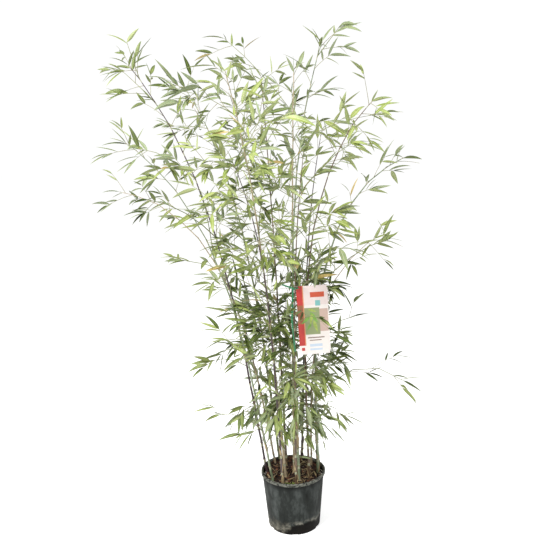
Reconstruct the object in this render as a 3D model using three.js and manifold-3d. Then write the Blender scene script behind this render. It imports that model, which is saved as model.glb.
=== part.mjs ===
// Potted bamboo: a clump of thin leaning culms in a round nursery pot.
//
// Millimetres, +Z up. The origin is the centre of the pot's flat underside, and the plant's
// front, where its label hangs, looks along -Y.
//
// Every culm is one tapered limb. Its foliage is split into sprays: a spray is one stem with
// seeded twigs, and leaves fused on to them, that keeps to the space nearest its own stem.

import * as THREE from 'three';
import { mergeVertices } from 'three/addons/utils/BufferGeometryUtils.js';
import Module from 'manifold-3d';

const wasm = await Module();
wasm.setup();

// ---------------------------------------------------------------- driving dimensions

const GAP = 0.3; // between pieces that touch on the real plant

const POT = {
  height: 215,
  rimRadius: 120, // over the rolled lip
  footRadius: 97,
  wall: 2.2,
  lipHeight: 13,
  lipReach: 4, // how far the lip stands out from the wall
  footChamfer: 4,
  floor: 3,
  segments: 24,
  dent: 1.2, // how far the soft rim is out of round
  slots: 6, // drainage slots on the bottom corner
  slotWidth: 22,
  slotDepth: 12,
  slotHeight: 7,
};

const COMPOST = {
  level: 190, // the flat surface that the culms rise from
  edgeDrop: 5, // how much lower it lies at the pot wall
  edgeWidth: 6,
};

// Culms: where the foot stands on the compost, where the tip hangs, its tilt at the foot in
// degrees towards that tip, the radius of its foot, and its side sprays: each leaves at a share
// of the length, towards a compass bearing, and may have a stem some times longer than the
// others. How far a culm nods over and how long it is follow from these.
const CULMS = [
  { foot: [-97, 22], tip: [-500, -60, 1680], tilt: 8, radius: 4.6,
    sprays: [[0.64, -120], [0.76, 130]] },
  { foot: [-76, -35], tip: [-500, -190, 1430], tilt: 9, radius: 4.2,
    sprays: [[0.2, 160]] },
  { foot: [-62, 60], tip: [-600, 120, 1260], tilt: 9, radius: 4.2,
    sprays: [[0.36, -150], [0.66, -50]] },
  { foot: [-46, 85], tip: [-370, 300, 1640], tilt: 7, radius: 5.0,
    sprays: [[0.28, 110], [0.48, 60], [0.62, 160], [0.74, 60]] },
  { foot: [-27, -12], tip: [-180, -160, 1640], tilt: 5, radius: 5.2,
    sprays: [[0.4, -150], [0.68, -80]] },
  { foot: [-22, 45], tip: [-70, 140, 1650], tilt: 3, radius: 4.8,
    sprays: [[0.26, 60], [0.42, 150], [0.62, 70], [0.74, -60]] },
  { foot: [4, 10], tip: [40, 0, 1660], tilt: 1, radius: 5.4,
    sprays: [[0.34, 0], [0.52, -60]] },
  { foot: [21, -40], tip: [130, -90, 1730], tilt: -1, radius: 5.0,
    sprays: [[0.18, -40], [0.7, 20]] },
  { foot: [59, -20], tip: [270, -220, 1530], tilt: -1, radius: 4.6,
    sprays: [[0.42, 20]] },
  { foot: [95, 10], tip: [430, 120, 1350], tilt: -1, radius: 6.0,
    sprays: [[0.28, -12, 2.1], [0.6, -50]] },
  { foot: [71, 50], tip: [310, -20, 1080], tilt: 1, radius: 4.0, sprays: [] },
  { foot: [37, 85], tip: [170, 420, 1470], tilt: 6, radius: 4.4,
    sprays: [[0.36, 40], [0.6, 120]] },
  { foot: [-39, -80], tip: [-150, -400, 1360], tilt: 6, radius: 4.4,
    sprays: [[0.22, -130], [0.6, -170]] },
  { foot: [8, -78], tip: [50, -340, 1390], tilt: 5, radius: 4.2,
    sprays: [[0.28, -90], [0.74, -60]] },
];

const CULM = {
  sides: 5,
  limbShare: 0.8, // of its length is limb; the tip spray grows on from there
  nodPower: 3, // it nods mostly near its tip
  lowInternode: 60,
  highInternode: 115,
  topInternode: 80,
  kink: 1.2, // degrees, left and right in turn at the nodes
  sway: 4, // degrees, of its bearing
  taper: 0.74, // share of the radius lost from foot to tip
  mostNod: 120, // degrees
  bendSteps: 40, // halvings that find the nod
  bendSamples: 48, // places along a culm where its tilt is read
};

const STEM = {
  angle: 42, // off the culm
  angleSpread: 7,
  lowLength: 190, // of a side spray's stem low on the culm
  highLength: 300,
  spread: 0.15, // share that a length may differ by
  lowSag: 1.0,
  highSag: 0.55,
  bends: 4,
  startRadius: 2.6,
  endRadius: 1.6,
  sides: 3,
  clearance: 8, // kept from every other limb
  turns: 13, // bearings tried, left and right of the first, before a side spray is given up
  turnStep: 15,
};

const TWIG = {
  tipCount: 3, // in a spray at a culm's tip
  sideCount: 4,
  first: 0.24, // share of the stem's length below the lowest
  last: 0.86,
  angle: 46,
  angleSpread: 12,
  sag: 0.15,
  length: [70, 110],
  rootShare: 0.48, // of the stem's radius, so that the root lies inside it
  endRadius: 0.7,
  leafPlaces: [0.35, 0.58, 0.8, 1], // shares of its length
};

const LEAF = {
  length: [76, 104],
  angle: 38, // off its twig, left and right in turn
  angleSpread: 12,
  sag: [0.05, 0.85],
  roll: 35, // degrees, either way
  width: 0.18, // of its length
  thickness: 0.015,
  arch: 0.05,
  widest: 0.32, // share of its length from the root
  thickest: 0.15,
  rootDepth: 1.2, // how far the end leaf's root is sunk in its twig
  fallen: 0.1, // share of the leaves that are missing
};

const SPACE = {
  margin: 1.5, // a leaf is this much nearer its own stem than any other
  limbGap: 1.5,
  abovePot: 25, // no leaf hangs lower than this over the rim
  labelGap: 12,
};

const LABEL = {
  culm: 13, // the culm it is tied to
  hangAt: 0.61, // share of that culm's length
  width: 104,
  height: 236,
  thickness: 0.8,
  corner: 4,
  holeRadius: 3.2,
  holeInset: 9, // from the top and left edges
  turn: -2.2, // degrees about Y
  tieRadius: 8,
  tieThickness: 1.2,
};

const COLOURS = {
  pot: 0x33373a,
  compost: 0x3a2a1f,
  label: 0xf1ebe4,
  tie: 0x2f7d52,
  leaves: [0x6f8f3a, 0x7b8f6a, 0x4f6b30, 0x86a04a],
  culms: [0x6f7d45, 0x43353c, 0xb39a6c, 0x7f8a66],
};

// ---------------------------------------------------------------- seeded chance

// A number from 0 to 1 worked out from whole-number keys, the same on every run.
function chance(...keys) {
  let hash = 0x811c9dc5;
  for (const key of keys) {
    hash = Math.imul(hash ^ key, 0x01000193) >>> 0;
    hash = (hash ^ (hash >>> 15)) >>> 0;
    hash = Math.imul(hash, 0x2c1b3c6d) >>> 0;
    hash = (hash ^ (hash >>> 12)) >>> 0;
  }
  return hash / 0x100000000;
}

function between(low, high, ...keys) {
  return low + (high - low) * chance(...keys);
}

// ---------------------------------------------------------------- directions

const UP = new THREE.Vector3(0, 0, 1);
const GOLDEN_ANGLE = 137.5;
const radians = THREE.MathUtils.degToRad;

function compass(bearing, tilt) {
  const flat = Math.sin(radians(tilt));
  return new THREE.Vector3(
    flat * Math.cos(radians(bearing)),
    flat * Math.sin(radians(bearing)),
    Math.cos(radians(tilt)),
  );
}

// A unit vector square to the given direction, turned round it by an angle.
function sideways(direction, angle) {
  const helper = Math.abs(direction.z) < 0.95 ? UP : new THREE.Vector3(1, 0, 0);
  const side = new THREE.Vector3().crossVectors(direction, helper).normalize();
  return side.applyAxisAngle(direction, radians(angle));
}

// A direction that leaves `direction` by `angle`, towards `side`.
function leaving(direction, side, angle) {
  return direction.clone()
    .multiplyScalar(Math.cos(radians(angle)))
    .addScaledVector(side, Math.sin(radians(angle)))
    .normalize();
}

function sagging(direction, amount) {
  return direction.clone().addScaledVector(UP, -amount).normalize();
}

// ---------------------------------------------------------------- bare lines

// The mean heading of a culm that nods over by some degrees: x across the ground, y up.
function meanHeading(tilt, nod) {
  const mean = new THREE.Vector2();
  for (let sample = 0; sample < CULM.bendSamples; sample += 1) {
    const share = (sample + 0.5) / CULM.bendSamples;
    const lean = radians(tilt + nod * share ** CULM.nodPower);
    mean.x += Math.sin(lean) / CULM.bendSamples;
    mean.y += Math.cos(lean) / CULM.bendSamples;
  }
  return mean;
}

// The culm with its lean, nod and length, so that it runs from its foot to its tip. More nod
// always carries the tip further out, so halving the range closes in on the right one.
function bentCulm(culm) {
  const ground = new THREE.Vector2(culm.tip[0] - culm.foot[0], culm.tip[1] - culm.foot[1]);
  const rise = culm.tip[2] - COMPOST.level;
  const lean = THREE.MathUtils.radToDeg(ground.angle());
  let least = 0;
  let most = CULM.mostNod;
  for (let step = 0; step < CULM.bendSteps; step += 1) {
    const middle = (least + most) / 2;
    const mean = meanHeading(culm.tilt, middle);
    if (mean.x * rise < mean.y * ground.length()) least = middle;
    else most = middle;
  }
  const length = Math.hypot(ground.length(), rise) / meanHeading(culm.tilt, least).length();
  return { ...culm, lean, nod: least, length };
}

// The nodes of a culm, from its foot to the end of its tip spray.
function culmNodes(culm, index) {
  const nodes = [{ at: new THREE.Vector3(...culm.foot, COMPOST.level + GAP), share: 0 }];
  while (nodes.at(-1).share < 1) {
    const { at, share } = nodes.at(-1);
    const rise = Math.min(1, share * 3);
    const lower = THREE.MathUtils.lerp(CULM.lowInternode, CULM.highInternode, rise);
    const internode = THREE.MathUtils.lerp(lower, CULM.topInternode, Math.max(0, share * 2 - 1));
    const reached = Math.min(1, share + internode / culm.length);
    const middle = (share + reached) / 2;
    const kink = nodes.length % 2 ? CULM.kink : -CULM.kink;
    const bearing = culm.lean + between(-CULM.sway, CULM.sway, index, nodes.length);
    const heading = compass(bearing, culm.tilt + culm.nod * middle ** CULM.nodPower + kink);
    const next = at.clone().addScaledVector(heading, (reached - share) * culm.length);
    nodes.push({ at: next, share: reached });
  }
  return nodes;
}

function culmRadius(culm, share) {
  return culm.radius * (1 - CULM.taper * share);
}

// The line of a side branch: it leaves the culm, then levels out and droops.
function branchLine(start, direction, length, sag) {
  const points = [start.clone()];
  for (let bend = 0; bend < STEM.bends; bend += 1) {
    const heading = sagging(direction, sag * bend / STEM.bends);
    points.push(points.at(-1).clone().addScaledVector(heading, length / STEM.bends));
  }
  return points;
}

// The point at a share of a line's length, and the direction there.
function alongLine(points, share) {
  const place = Math.min(share, 0.999) * (points.length - 1);
  const i = Math.floor(place);
  const heading = points[i + 1].clone().sub(points[i]);
  const at = points[i].clone().addScaledVector(heading, place - i);
  return { at, heading: heading.normalize() };
}

// ---------------------------------------------------------------- space and clearance

function pointDistance(point, points) {
  const nearest = new THREE.Vector3();
  let distance = Infinity;
  for (let i = 1; i < points.length; i += 1) {
    new THREE.Line3(points[i - 1], points[i]).closestPointToPoint(point, true, nearest);
    distance = Math.min(distance, nearest.distanceTo(point));
  }
  return distance;
}

// The shortest distance between two straight segments.
function segmentDistance(a0, a1, b0, b1) {
  const u = a1.clone().sub(a0);
  const v = b1.clone().sub(b0);
  const w = a0.clone().sub(b0);
  const uu = u.dot(u);
  const uv = u.dot(v);
  const vv = v.dot(v);
  const clamp = (value) => THREE.MathUtils.clamp(value, 0, 1);
  const cross = uu * vv - uv * uv;
  const first = cross > 1e-9 ? clamp((uv * v.dot(w) - vv * u.dot(w)) / cross) : 0;
  const t = clamp((uv * first + v.dot(w)) / vv);
  const s = clamp((uv * t - u.dot(w)) / uu);
  return w.addScaledVector(u, s).addScaledVector(v, -t).length();
}

function lineDistance(from, to, points) {
  let distance = Infinity;
  for (let i = 1; i < points.length; i += 1) {
    distance = Math.min(distance, segmentDistance(from, to, points[i - 1], points[i]));
  }
  return distance;
}

// Whether every point is nearer the spray's own stem than the stem of any other spray.
function inOwnSpace(points, spray, sprays) {
  return points.every((point) => {
    const reach = pointDistance(point, spray.stem) + SPACE.margin;
    return sprays.every((other) => other === spray || pointDistance(point, other.stem) > reach);
  });
}

// Whether a straight piece of the given half width stays off the culms, the label and the pot.
function clearOfLimbs(from, to, halfWidth, plant) {
  const low = POT.height + SPACE.abovePot;
  if (from.z < low || to.z < low) return false;
  if (crossesLabel(from, to, plant.label)) return false;
  return plant.culms.every((culm) => (
    lineDistance(from, to, culm.line) > culm.spec.radius + halfWidth + SPACE.limbGap
  ));
}

function crossesLabel(from, to, label) {
  const half = new THREE.Vector3(LABEL.width / 2, LABEL.thickness, LABEL.height / 2);
  half.addScalar(SPACE.labelGap);
  const room = new THREE.Box3(half.clone().negate(), half);
  const steps = 8;
  for (let step = 0; step <= steps; step += 1) {
    const point = from.clone().lerp(to, step / steps);
    if (room.containsPoint(label.worldToLocal(point))) return true;
  }
  return false;
}

// ---------------------------------------------------------------- growth

function growCulms() {
  return CULMS.map((row, index) => {
    const spec = bentCulm(row);
    const nodes = culmNodes(spec, index);
    const limbNodes = nodes.filter((node) => node.share <= CULM.limbShare);
    return { spec, index, nodes, limbNodes, line: limbNodes.map((node) => node.at) };
  });
}

// The stem of the spray that grows on from a culm's tip.
function tipStem(culm) {
  const last = culm.limbNodes.at(-1);
  const beyond = culm.nodes.slice(culm.limbNodes.length).map((node) => node.at);
  const heading = beyond[0].clone().sub(last.at).normalize();
  const bend = heading.angleTo(last.at.clone().sub(culm.line.at(-2)));
  const radius = culmRadius(culm.spec, last.share);
  return {
    name: 'tip',
    stem: [last.at.clone().addScaledVector(heading, GAP + radius * Math.sin(bend)), ...beyond],
    radius,
    twigCount: TWIG.tipCount,
  };
}

// The stem of a side spray, turned round its culm until it is clear of every limb and stem.
function sideStem(culm, [share, bearing, stretch = 1], order, plant) {
  const below = culm.limbNodes.findLastIndex((node) => node.share <= share);
  const at = Math.min(below, culm.limbNodes.length - 2);
  const node = culm.nodes[at];
  const along = culm.nodes[at + 1].at.clone().sub(node.at).normalize();
  const angle = STEM.angle + between(-STEM.angleSpread, STEM.angleSpread, culm.index, at, 1);
  const height = THREE.MathUtils.clamp(share * 3 - 0.9, 0, 1);
  const length = stretch * THREE.MathUtils.lerp(STEM.lowLength, STEM.highLength, height)
    * between(1 - STEM.spread, 1 + STEM.spread, culm.index, at, 2);
  const sag = Math.sqrt(stretch) * THREE.MathUtils.lerp(STEM.lowSag, STEM.highSag, height);
  for (let turn = 0; turn < STEM.turns; turn += 1) {
    const offset = STEM.turnStep * Math.ceil(turn / 2) * (turn % 2 ? 1 : -1);
    const side = compass(bearing + offset, 90);
    side.addScaledVector(along, -side.dot(along)).normalize();
    const stem = branchLine(node.at, leaving(along, side, angle), length, sag);
    if (stemIsClear(stem, culm, plant)) {
      const name = `side_${order + 1}`;
      return { name, stem, radius: STEM.startRadius, twigCount: TWIG.sideCount };
    }
  }
  throw new Error(`culm ${culm.index + 1}: no clear bearing for a side spray at ${share}`);
}

function stemIsClear(stem, own, plant) {
  for (let i = 1; i < stem.length; i += 1) {
    const culms = i > 1 ? plant.culms : plant.culms.filter((culm) => culm !== own);
    const lines = [...culms.map((culm) => culm.line), ...plant.sprays.map((spray) => spray.stem)];
    const distances = lines.map((line) => lineDistance(stem[i - 1], stem[i], line));
    if (Math.min(...distances) < STEM.clearance) return false;
    if (crossesLabel(stem[i - 1], stem[i], plant.label)) return false;
  }
  return true;
}

function stemRadius(spray, share) {
  return THREE.MathUtils.lerp(spray.radius, STEM.endRadius, share);
}

// The twigs of a spray and the leaves on them, and the leaves at the end of its stem.
function growTwigs(spray, plant) {
  const key = spray.key;
  for (let order = 0; order < spray.twigCount; order += 1) {
    const share = THREE.MathUtils.lerp(TWIG.first, TWIG.last, order / (spray.twigCount - 1));
    const { at, heading } = alongLine(spray.stem, share);
    const side = sideways(heading, order * GOLDEN_ANGLE + 360 * chance(key, 4));
    const angle = TWIG.angle + between(-TWIG.angleSpread, TWIG.angleSpread, key, order, 5);
    const direction = sagging(leaving(heading, side, angle), TWIG.sag);
    const tip = at.clone().addScaledVector(direction, between(...TWIG.length, key, order, 6));
    const clear = inOwnSpace([tip], spray, plant.sprays)
      && clearOfLimbs(at.clone().lerp(tip, 0.2), tip, TWIG.endRadius, plant);
    if (!clear) continue;
    spray.twigs.push({ line: [at, tip], rootRadius: stemRadius(spray, share) * TWIG.rootShare });
    growLeaves(spray, [at, tip], order, plant);
  }
  growLeaves(spray, spray.stem.slice(-2), spray.twigCount, plant);
}

function growLeaves(spray, twig, order, plant) {
  TWIG.leafPlaces.forEach((place, number) => {
    const keys = [spray.key, order, number];
    const { at, heading } = alongLine(twig, place);
    if (chance(...keys, 12) < LEAF.fallen) return;
    const last = place === 1;
    const hand = number % 2 ? 90 : -90;
    const side = sideways(heading, hand + between(-LEAF.roll, LEAF.roll, ...keys, 7));
    const angle = last ? 0 : LEAF.angle + between(-LEAF.angleSpread, LEAF.angleSpread, ...keys, 8);
    const direction = sagging(leaving(heading, side, angle), between(...LEAF.sag, ...keys, 9));
    const root = at.clone().addScaledVector(heading, last ? -LEAF.rootDepth : 0);
    const tip = root.clone().addScaledVector(direction, between(...LEAF.length, ...keys, 10));
    const face = sideways(direction, 90 + between(-LEAF.roll, LEAF.roll, ...keys, 11));
    const leaf = { root, tip, face: face.z < 0 ? face.negate() : face };
    if (leafFits(leaf, spray, plant)) spray.leaves.push(leaf);
  });
}

function leafFits(leaf, spray, plant) {
  const { middle, across, length } = leafFrame(leaf);
  const halfWidth = length * LEAF.width / 2;
  const outline = [
    leaf.tip,
    middle.clone().addScaledVector(across, halfWidth),
    middle.clone().addScaledVector(across, -halfWidth),
    leaf.root.clone().lerp(leaf.tip, 0.75),
  ];
  const base = leaf.root.clone().lerp(leaf.tip, 0.15);
  return inOwnSpace(outline, spray, plant.sprays)
    && clearOfLimbs(base, middle, halfWidth, plant)
    && clearOfLimbs(middle, leaf.tip, halfWidth, plant);
}

// ---------------------------------------------------------------- solids

// A closed tapered limb along a line of points: a straight prism whose rings are moved on to
// it. A flat foot is cut level with the ground.
function limb(points, radii, sides, flatFoot = false) {
  const rings = points.length - 1;
  const section = new THREE.Shape();
  for (let corner = 0; corner < sides; corner += 1) {
    const angle = 2 * Math.PI * corner / sides;
    const place = [Math.cos(angle), Math.sin(angle)];
    if (corner) section.lineTo(...place);
    else section.moveTo(...place);
  }
  const options = { depth: rings, steps: rings, bevelEnabled: false };
  const geometry = new THREE.ExtrudeGeometry(section, options);
  const frames = ringFrames(points);
  if (flatFoot) frames[0] = levelFrame(frames[0]);
  const position = geometry.attributes.position;
  const local = new THREE.Vector3();
  for (let i = 0; i < position.count; i += 1) {
    local.fromBufferAttribute(position, i);
    const ring = Math.round(local.z);
    const { side, other } = frames[ring];
    const moved = points[ring].clone()
      .addScaledVector(side, local.x * radii[ring])
      .addScaledVector(other, local.y * radii[ring]);
    position.setXYZ(i, moved.x, moved.y, moved.z);
  }
  return weld(geometry);
}

// At each point, two directions square to the line that don't twist along it.
function ringFrames(points) {
  const frames = [];
  for (let i = 0; i < points.length; i += 1) {
    const before = points[Math.max(0, i - 1)];
    const after = points[Math.min(points.length - 1, i + 1)];
    const along = after.clone().sub(before).normalize();
    const guide = i ? frames[i - 1].side : sideways(along, 0);
    const side = guide.clone().addScaledVector(along, -guide.dot(along)).normalize();
    const other = new THREE.Vector3().crossVectors(along, side);
    frames.push({ side, other });
  }
  return frames;
}

function levelFrame({ side }) {
  const level = side.clone().setZ(0).normalize();
  return { side: level, other: new THREE.Vector3().crossVectors(UP, level) };
}

function evenRadii(points, start, end) {
  return points.map((_, i) => THREE.MathUtils.lerp(start, end, i / (points.length - 1)));
}

// Where a leaf is widest, and its directions along, across and out of its face.
function leafFrame(leaf) {
  const along = leaf.tip.clone().sub(leaf.root);
  const length = along.length();
  along.normalize();
  const across = new THREE.Vector3().crossVectors(leaf.face, along).normalize();
  const face = new THREE.Vector3().crossVectors(along, across);
  const middle = leaf.root.clone()
    .addScaledVector(along, length * LEAF.widest)
    .addScaledVector(face, length * LEAF.arch);
  const rib = leaf.root.clone().lerp(middle, LEAF.thickest / LEAF.widest);
  return { middle, rib, across, face, length };
}

// A leaf: an octahedron drawn out from its root to its tip, flat, and arched along its length.
function leafSolid(leaf) {
  const { middle, rib, across, face, length } = leafFrame(leaf);
  const geometry = new THREE.OctahedronGeometry(1);
  const position = geometry.attributes.position;
  const corner = new THREE.Vector3();
  for (let i = 0; i < position.count; i += 1) {
    corner.fromBufferAttribute(position, i);
    const moved = corner.z ? rib.clone() : middle.clone();
    moved.addScaledVector(across, corner.y * length * LEAF.width / 2);
    moved.addScaledVector(face, corner.z * length * LEAF.thickness / 2);
    if (corner.x > 0) moved.copy(leaf.tip);
    if (corner.x < 0) moved.copy(leaf.root);
    position.setXYZ(i, moved.x, moved.y, moved.z);
  }
  return weld(geometry);
}

function weld(geometry) {
  const bare = new THREE.BufferGeometry();
  bare.setAttribute('position', geometry.attributes.position);
  if (geometry.index) bare.setIndex(geometry.index);
  return mergeVertices(bare, 1e-3);
}

function toManifold(geometry) {
  const welded = weld(geometry);
  return new wasm.Manifold(new wasm.Mesh({
    numProp: 3,
    vertProperties: new Float32Array(welded.attributes.position.array),
    triVerts: new Uint32Array(welded.index.array),
  }));
}

function fromManifold(manifold) {
  const { vertProperties, triVerts } = manifold.getMesh();
  const geometry = new THREE.BufferGeometry();
  geometry.setAttribute('position', new THREE.BufferAttribute(vertProperties, 3));
  geometry.setIndex(new THREE.BufferAttribute(triVerts, 1));
  return geometry;
}

// The room that a culm takes up, with the gap round it.
function culmRoom(culm) {
  const gap = GAP / Math.cos(Math.PI / CULM.sides);
  const radii = culm.limbNodes.map((node) => culmRadius(culm.spec, node.share) + gap);
  return toManifold(limb(culm.line, radii, CULM.sides, true));
}

// The stem, twigs and leaves of a spray as one body, with the stem's root cut to the faces of
// its culm, a gap clear of them. A scrap that this leaves is dropped.
function fuseSpray(spray) {
  const radii = evenRadii(spray.stem, spray.radius, STEM.endRadius);
  let fused = toManifold(limb(spray.stem, radii, STEM.sides)).subtract(culmRoom(spray.culm));
  for (const twig of spray.twigs) {
    fused = fused.add(toManifold(limb(twig.line, [twig.rootRadius, TWIG.endRadius], STEM.sides)));
  }
  for (const leaf of spray.leaves) {
    fused = fused.add(toManifold(leafSolid(leaf)));
  }
  const bodies = fused.decompose().sort((a, b) => b.volume() - a.volume());
  return fromManifold(bodies[0]);
}

// ---------------------------------------------------------------- pot and compost

// The pot wall's outer radius at a height.
function wallRadius(z) {
  const top = POT.rimRadius - POT.lipReach;
  return THREE.MathUtils.lerp(POT.footRadius, top, z / POT.height);
}

// The soft rim, above the compost, is slightly out of round.
function dented(geometry) {
  const position = geometry.attributes.position;
  for (let i = 0; i < position.count; i += 1) {
    const x = position.getX(i);
    const y = position.getY(i);
    const z = position.getZ(i);
    const angle = Math.atan2(y, x);
    const wave = Math.sin(3 * angle + 0.7) + 0.6 * Math.sin(5 * angle + 2.1);
    const radius = Math.max(1, Math.hypot(x, y));
    const share = Math.max(0, z - COMPOST.level) / (POT.height - COMPOST.level);
    const scale = 1 + POT.dent * wave * share / radius;
    position.setXYZ(i, x * scale, y * scale, z);
  }
  return geometry;
}

function turned(profile) {
  const points = profile.map(([radius, z]) => new THREE.Vector2(radius, z));
  const geometry = new THREE.LatheGeometry(points, POT.segments);
  return weld(geometry.rotateX(Math.PI / 2));
}

function potSolid() {
  const lipFoot = POT.height - POT.lipHeight;
  const body = turned([
    [0, 0],
    [POT.footRadius - POT.footChamfer, 0],
    [wallRadius(POT.footChamfer), POT.footChamfer],
    [wallRadius(lipFoot), lipFoot],
    [POT.rimRadius - 1, lipFoot + 1],
    [POT.rimRadius, POT.height - 3],
    [POT.rimRadius - 2, POT.height],
    [wallRadius(POT.height) - POT.wall, POT.height],
    [wallRadius(COMPOST.level) - POT.wall, COMPOST.level],
    [wallRadius(POT.floor) - POT.wall, POT.floor],
    [0, POT.floor],
  ]);
  let pot = toManifold(dented(body));
  for (let slot = 0; slot < POT.slots; slot += 1) {
    const cutter = new THREE.BoxGeometry(POT.slotDepth, POT.slotWidth, POT.slotHeight * 2);
    cutter.translate(POT.footRadius, 0, 0);
    cutter.rotateZ(2 * Math.PI * (slot + 0.5) / POT.slots);
    pot = pot.subtract(toManifold(cutter));
  }
  return fromManifold(pot);
}

function compostSolid() {
  const inside = (z) => wallRadius(z) - POT.wall - GAP;
  const bottom = POT.floor + GAP;
  const edge = COMPOST.level - COMPOST.edgeDrop;
  return turned([
    [0, bottom],
    [inside(bottom), bottom],
    [inside(edge), edge],
    [inside(edge) - COMPOST.edgeWidth, COMPOST.level],
    [0, COMPOST.level],
  ]);
}

// ---------------------------------------------------------------- label

// The middle of the label's tie: a loop round its culm, pulled to +X until it meets the culm.
function tiePlace(culms) {
  const culm = culms[LABEL.culm];
  const node = culm.nodes.findIndex(({ share }) => share >= LABEL.hangAt);
  const from = culm.nodes[node - 1];
  const to = culm.nodes[node];
  const place = from.at.clone().lerp(to.at, (LABEL.hangAt - from.share) / (to.share - from.share));
  place.x += LABEL.tieRadius - LABEL.tieThickness - culmRadius(culm.spec, LABEL.hangAt) - GAP;
  return place;
}

// The card's own frame: its middle, with its width along X and its height along Z. The top of
// its hole rests on the tie.
function labelFrame(tie) {
  const frame = new THREE.Object3D();
  const slack = LABEL.holeRadius - LABEL.tieThickness - GAP;
  const toMiddle = new THREE.Vector3(
    LABEL.width / 2 - LABEL.holeInset,
    0,
    LABEL.holeInset - LABEL.height / 2 - slack,
  );
  frame.rotation.y = radians(LABEL.turn);
  frame.position.copy(toMiddle.applyEuler(frame.rotation)).add(tie);
  frame.position.x += LABEL.tieRadius;
  frame.updateMatrixWorld(true);
  return frame;
}

function labelSolid() {
  const right = LABEL.width / 2;
  const top = LABEL.height / 2;
  const shape = new THREE.Shape();
  shape.moveTo(-right + LABEL.corner, -top);
  shape.lineTo(right - LABEL.corner, -top);
  shape.quadraticCurveTo(right, -top, right, -top + LABEL.corner);
  shape.lineTo(right, top - LABEL.corner);
  shape.quadraticCurveTo(right, top, right - LABEL.corner, top);
  shape.lineTo(-right + LABEL.corner, top);
  shape.quadraticCurveTo(-right, top, -right, top - LABEL.corner);
  shape.lineTo(-right, -top + LABEL.corner);
  shape.quadraticCurveTo(-right, -top, -right + LABEL.corner, -top);
  const [holeX, holeY] = [LABEL.holeInset - right, top - LABEL.holeInset];
  const hole = new THREE.Path();
  hole.absarc(holeX, holeY, LABEL.holeRadius, 0, 2 * Math.PI, true);
  shape.holes.push(hole);
  const options = { depth: LABEL.thickness, bevelEnabled: false, curveSegments: 4 };
  const geometry = new THREE.ExtrudeGeometry(shape, options);
  geometry.translate(0, 0, -LABEL.thickness / 2);
  return weld(geometry.rotateX(Math.PI / 2));
}

function tieSolid() {
  return weld(new THREE.TorusGeometry(LABEL.tieRadius, LABEL.tieThickness, 5, 14));
}

// ---------------------------------------------------------------- the plant

const plant = new THREE.Group();

function addMesh(name, geometry, colour, roughness, parent = plant) {
  const material = new THREE.MeshStandardMaterial({ color: colour, roughness, metalness: 0 });
  const mesh = new THREE.Mesh(geometry, material);
  mesh.name = name;
  parent.add(mesh);
  return mesh;
}

function twoDigits(number) {
  return String(number).padStart(2, '0');
}

const culms = growCulms();
const tie = tiePlace(culms);
const lines = { culms, label: labelFrame(tie), sprays: [] };
for (const culm of culms) {
  lines.sprays.push({ ...tipStem(culm), culm, twigs: [], leaves: [] });
}
for (const culm of culms) {
  culm.spec.sprays.forEach((place, order) => {
    lines.sprays.push({ ...sideStem(culm, place, order, lines), culm, twigs: [], leaves: [] });
  });
}
lines.sprays.forEach((spray, key) => {
  spray.key = key;
  growTwigs(spray, lines);
});

addMesh('pot', potSolid(), COLOURS.pot, 0.55);
addMesh('compost', compostSolid(), COLOURS.compost, 0.95);

for (const culm of culms) {
  const name = `culm_${twoDigits(culm.index + 1)}`;
  const radii = culm.limbNodes.map((node) => culmRadius(culm.spec, node.share));
  const colour = COLOURS.culms[culm.index % COLOURS.culms.length];
  addMesh(name, limb(culm.line, radii, CULM.sides, true), colour, 0.5);
}

for (const spray of lines.sprays) {
  const name = `foliage_${twoDigits(spray.culm.index + 1)}_${spray.name}`;
  addMesh(name, fuseSpray(spray), COLOURS.leaves[spray.key % COLOURS.leaves.length], 0.6);
}

const label = addMesh('label_card', labelSolid(), COLOURS.label, 0.6);
label.position.copy(lines.label.position);
label.rotation.copy(lines.label.rotation);
const loop = addMesh('label_tie', tieSolid(), COLOURS.tie, 0.5);
loop.position.copy(tie);

export default plant;
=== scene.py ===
# %% [markdown]
# # A potted bamboo
# A clump of thin culms leans out of a black nursery pot, with airy sprays of narrow leaves all
# the way up and a label card tied to its front culm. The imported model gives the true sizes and
# places. This script dresses it: it is loaded first, as a frame that nothing here may move.

import math
from collections import namedtuple

import bpy
import numpy as np
from mathutils import Euler, Matrix, Quaternion, Vector, noise


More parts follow.
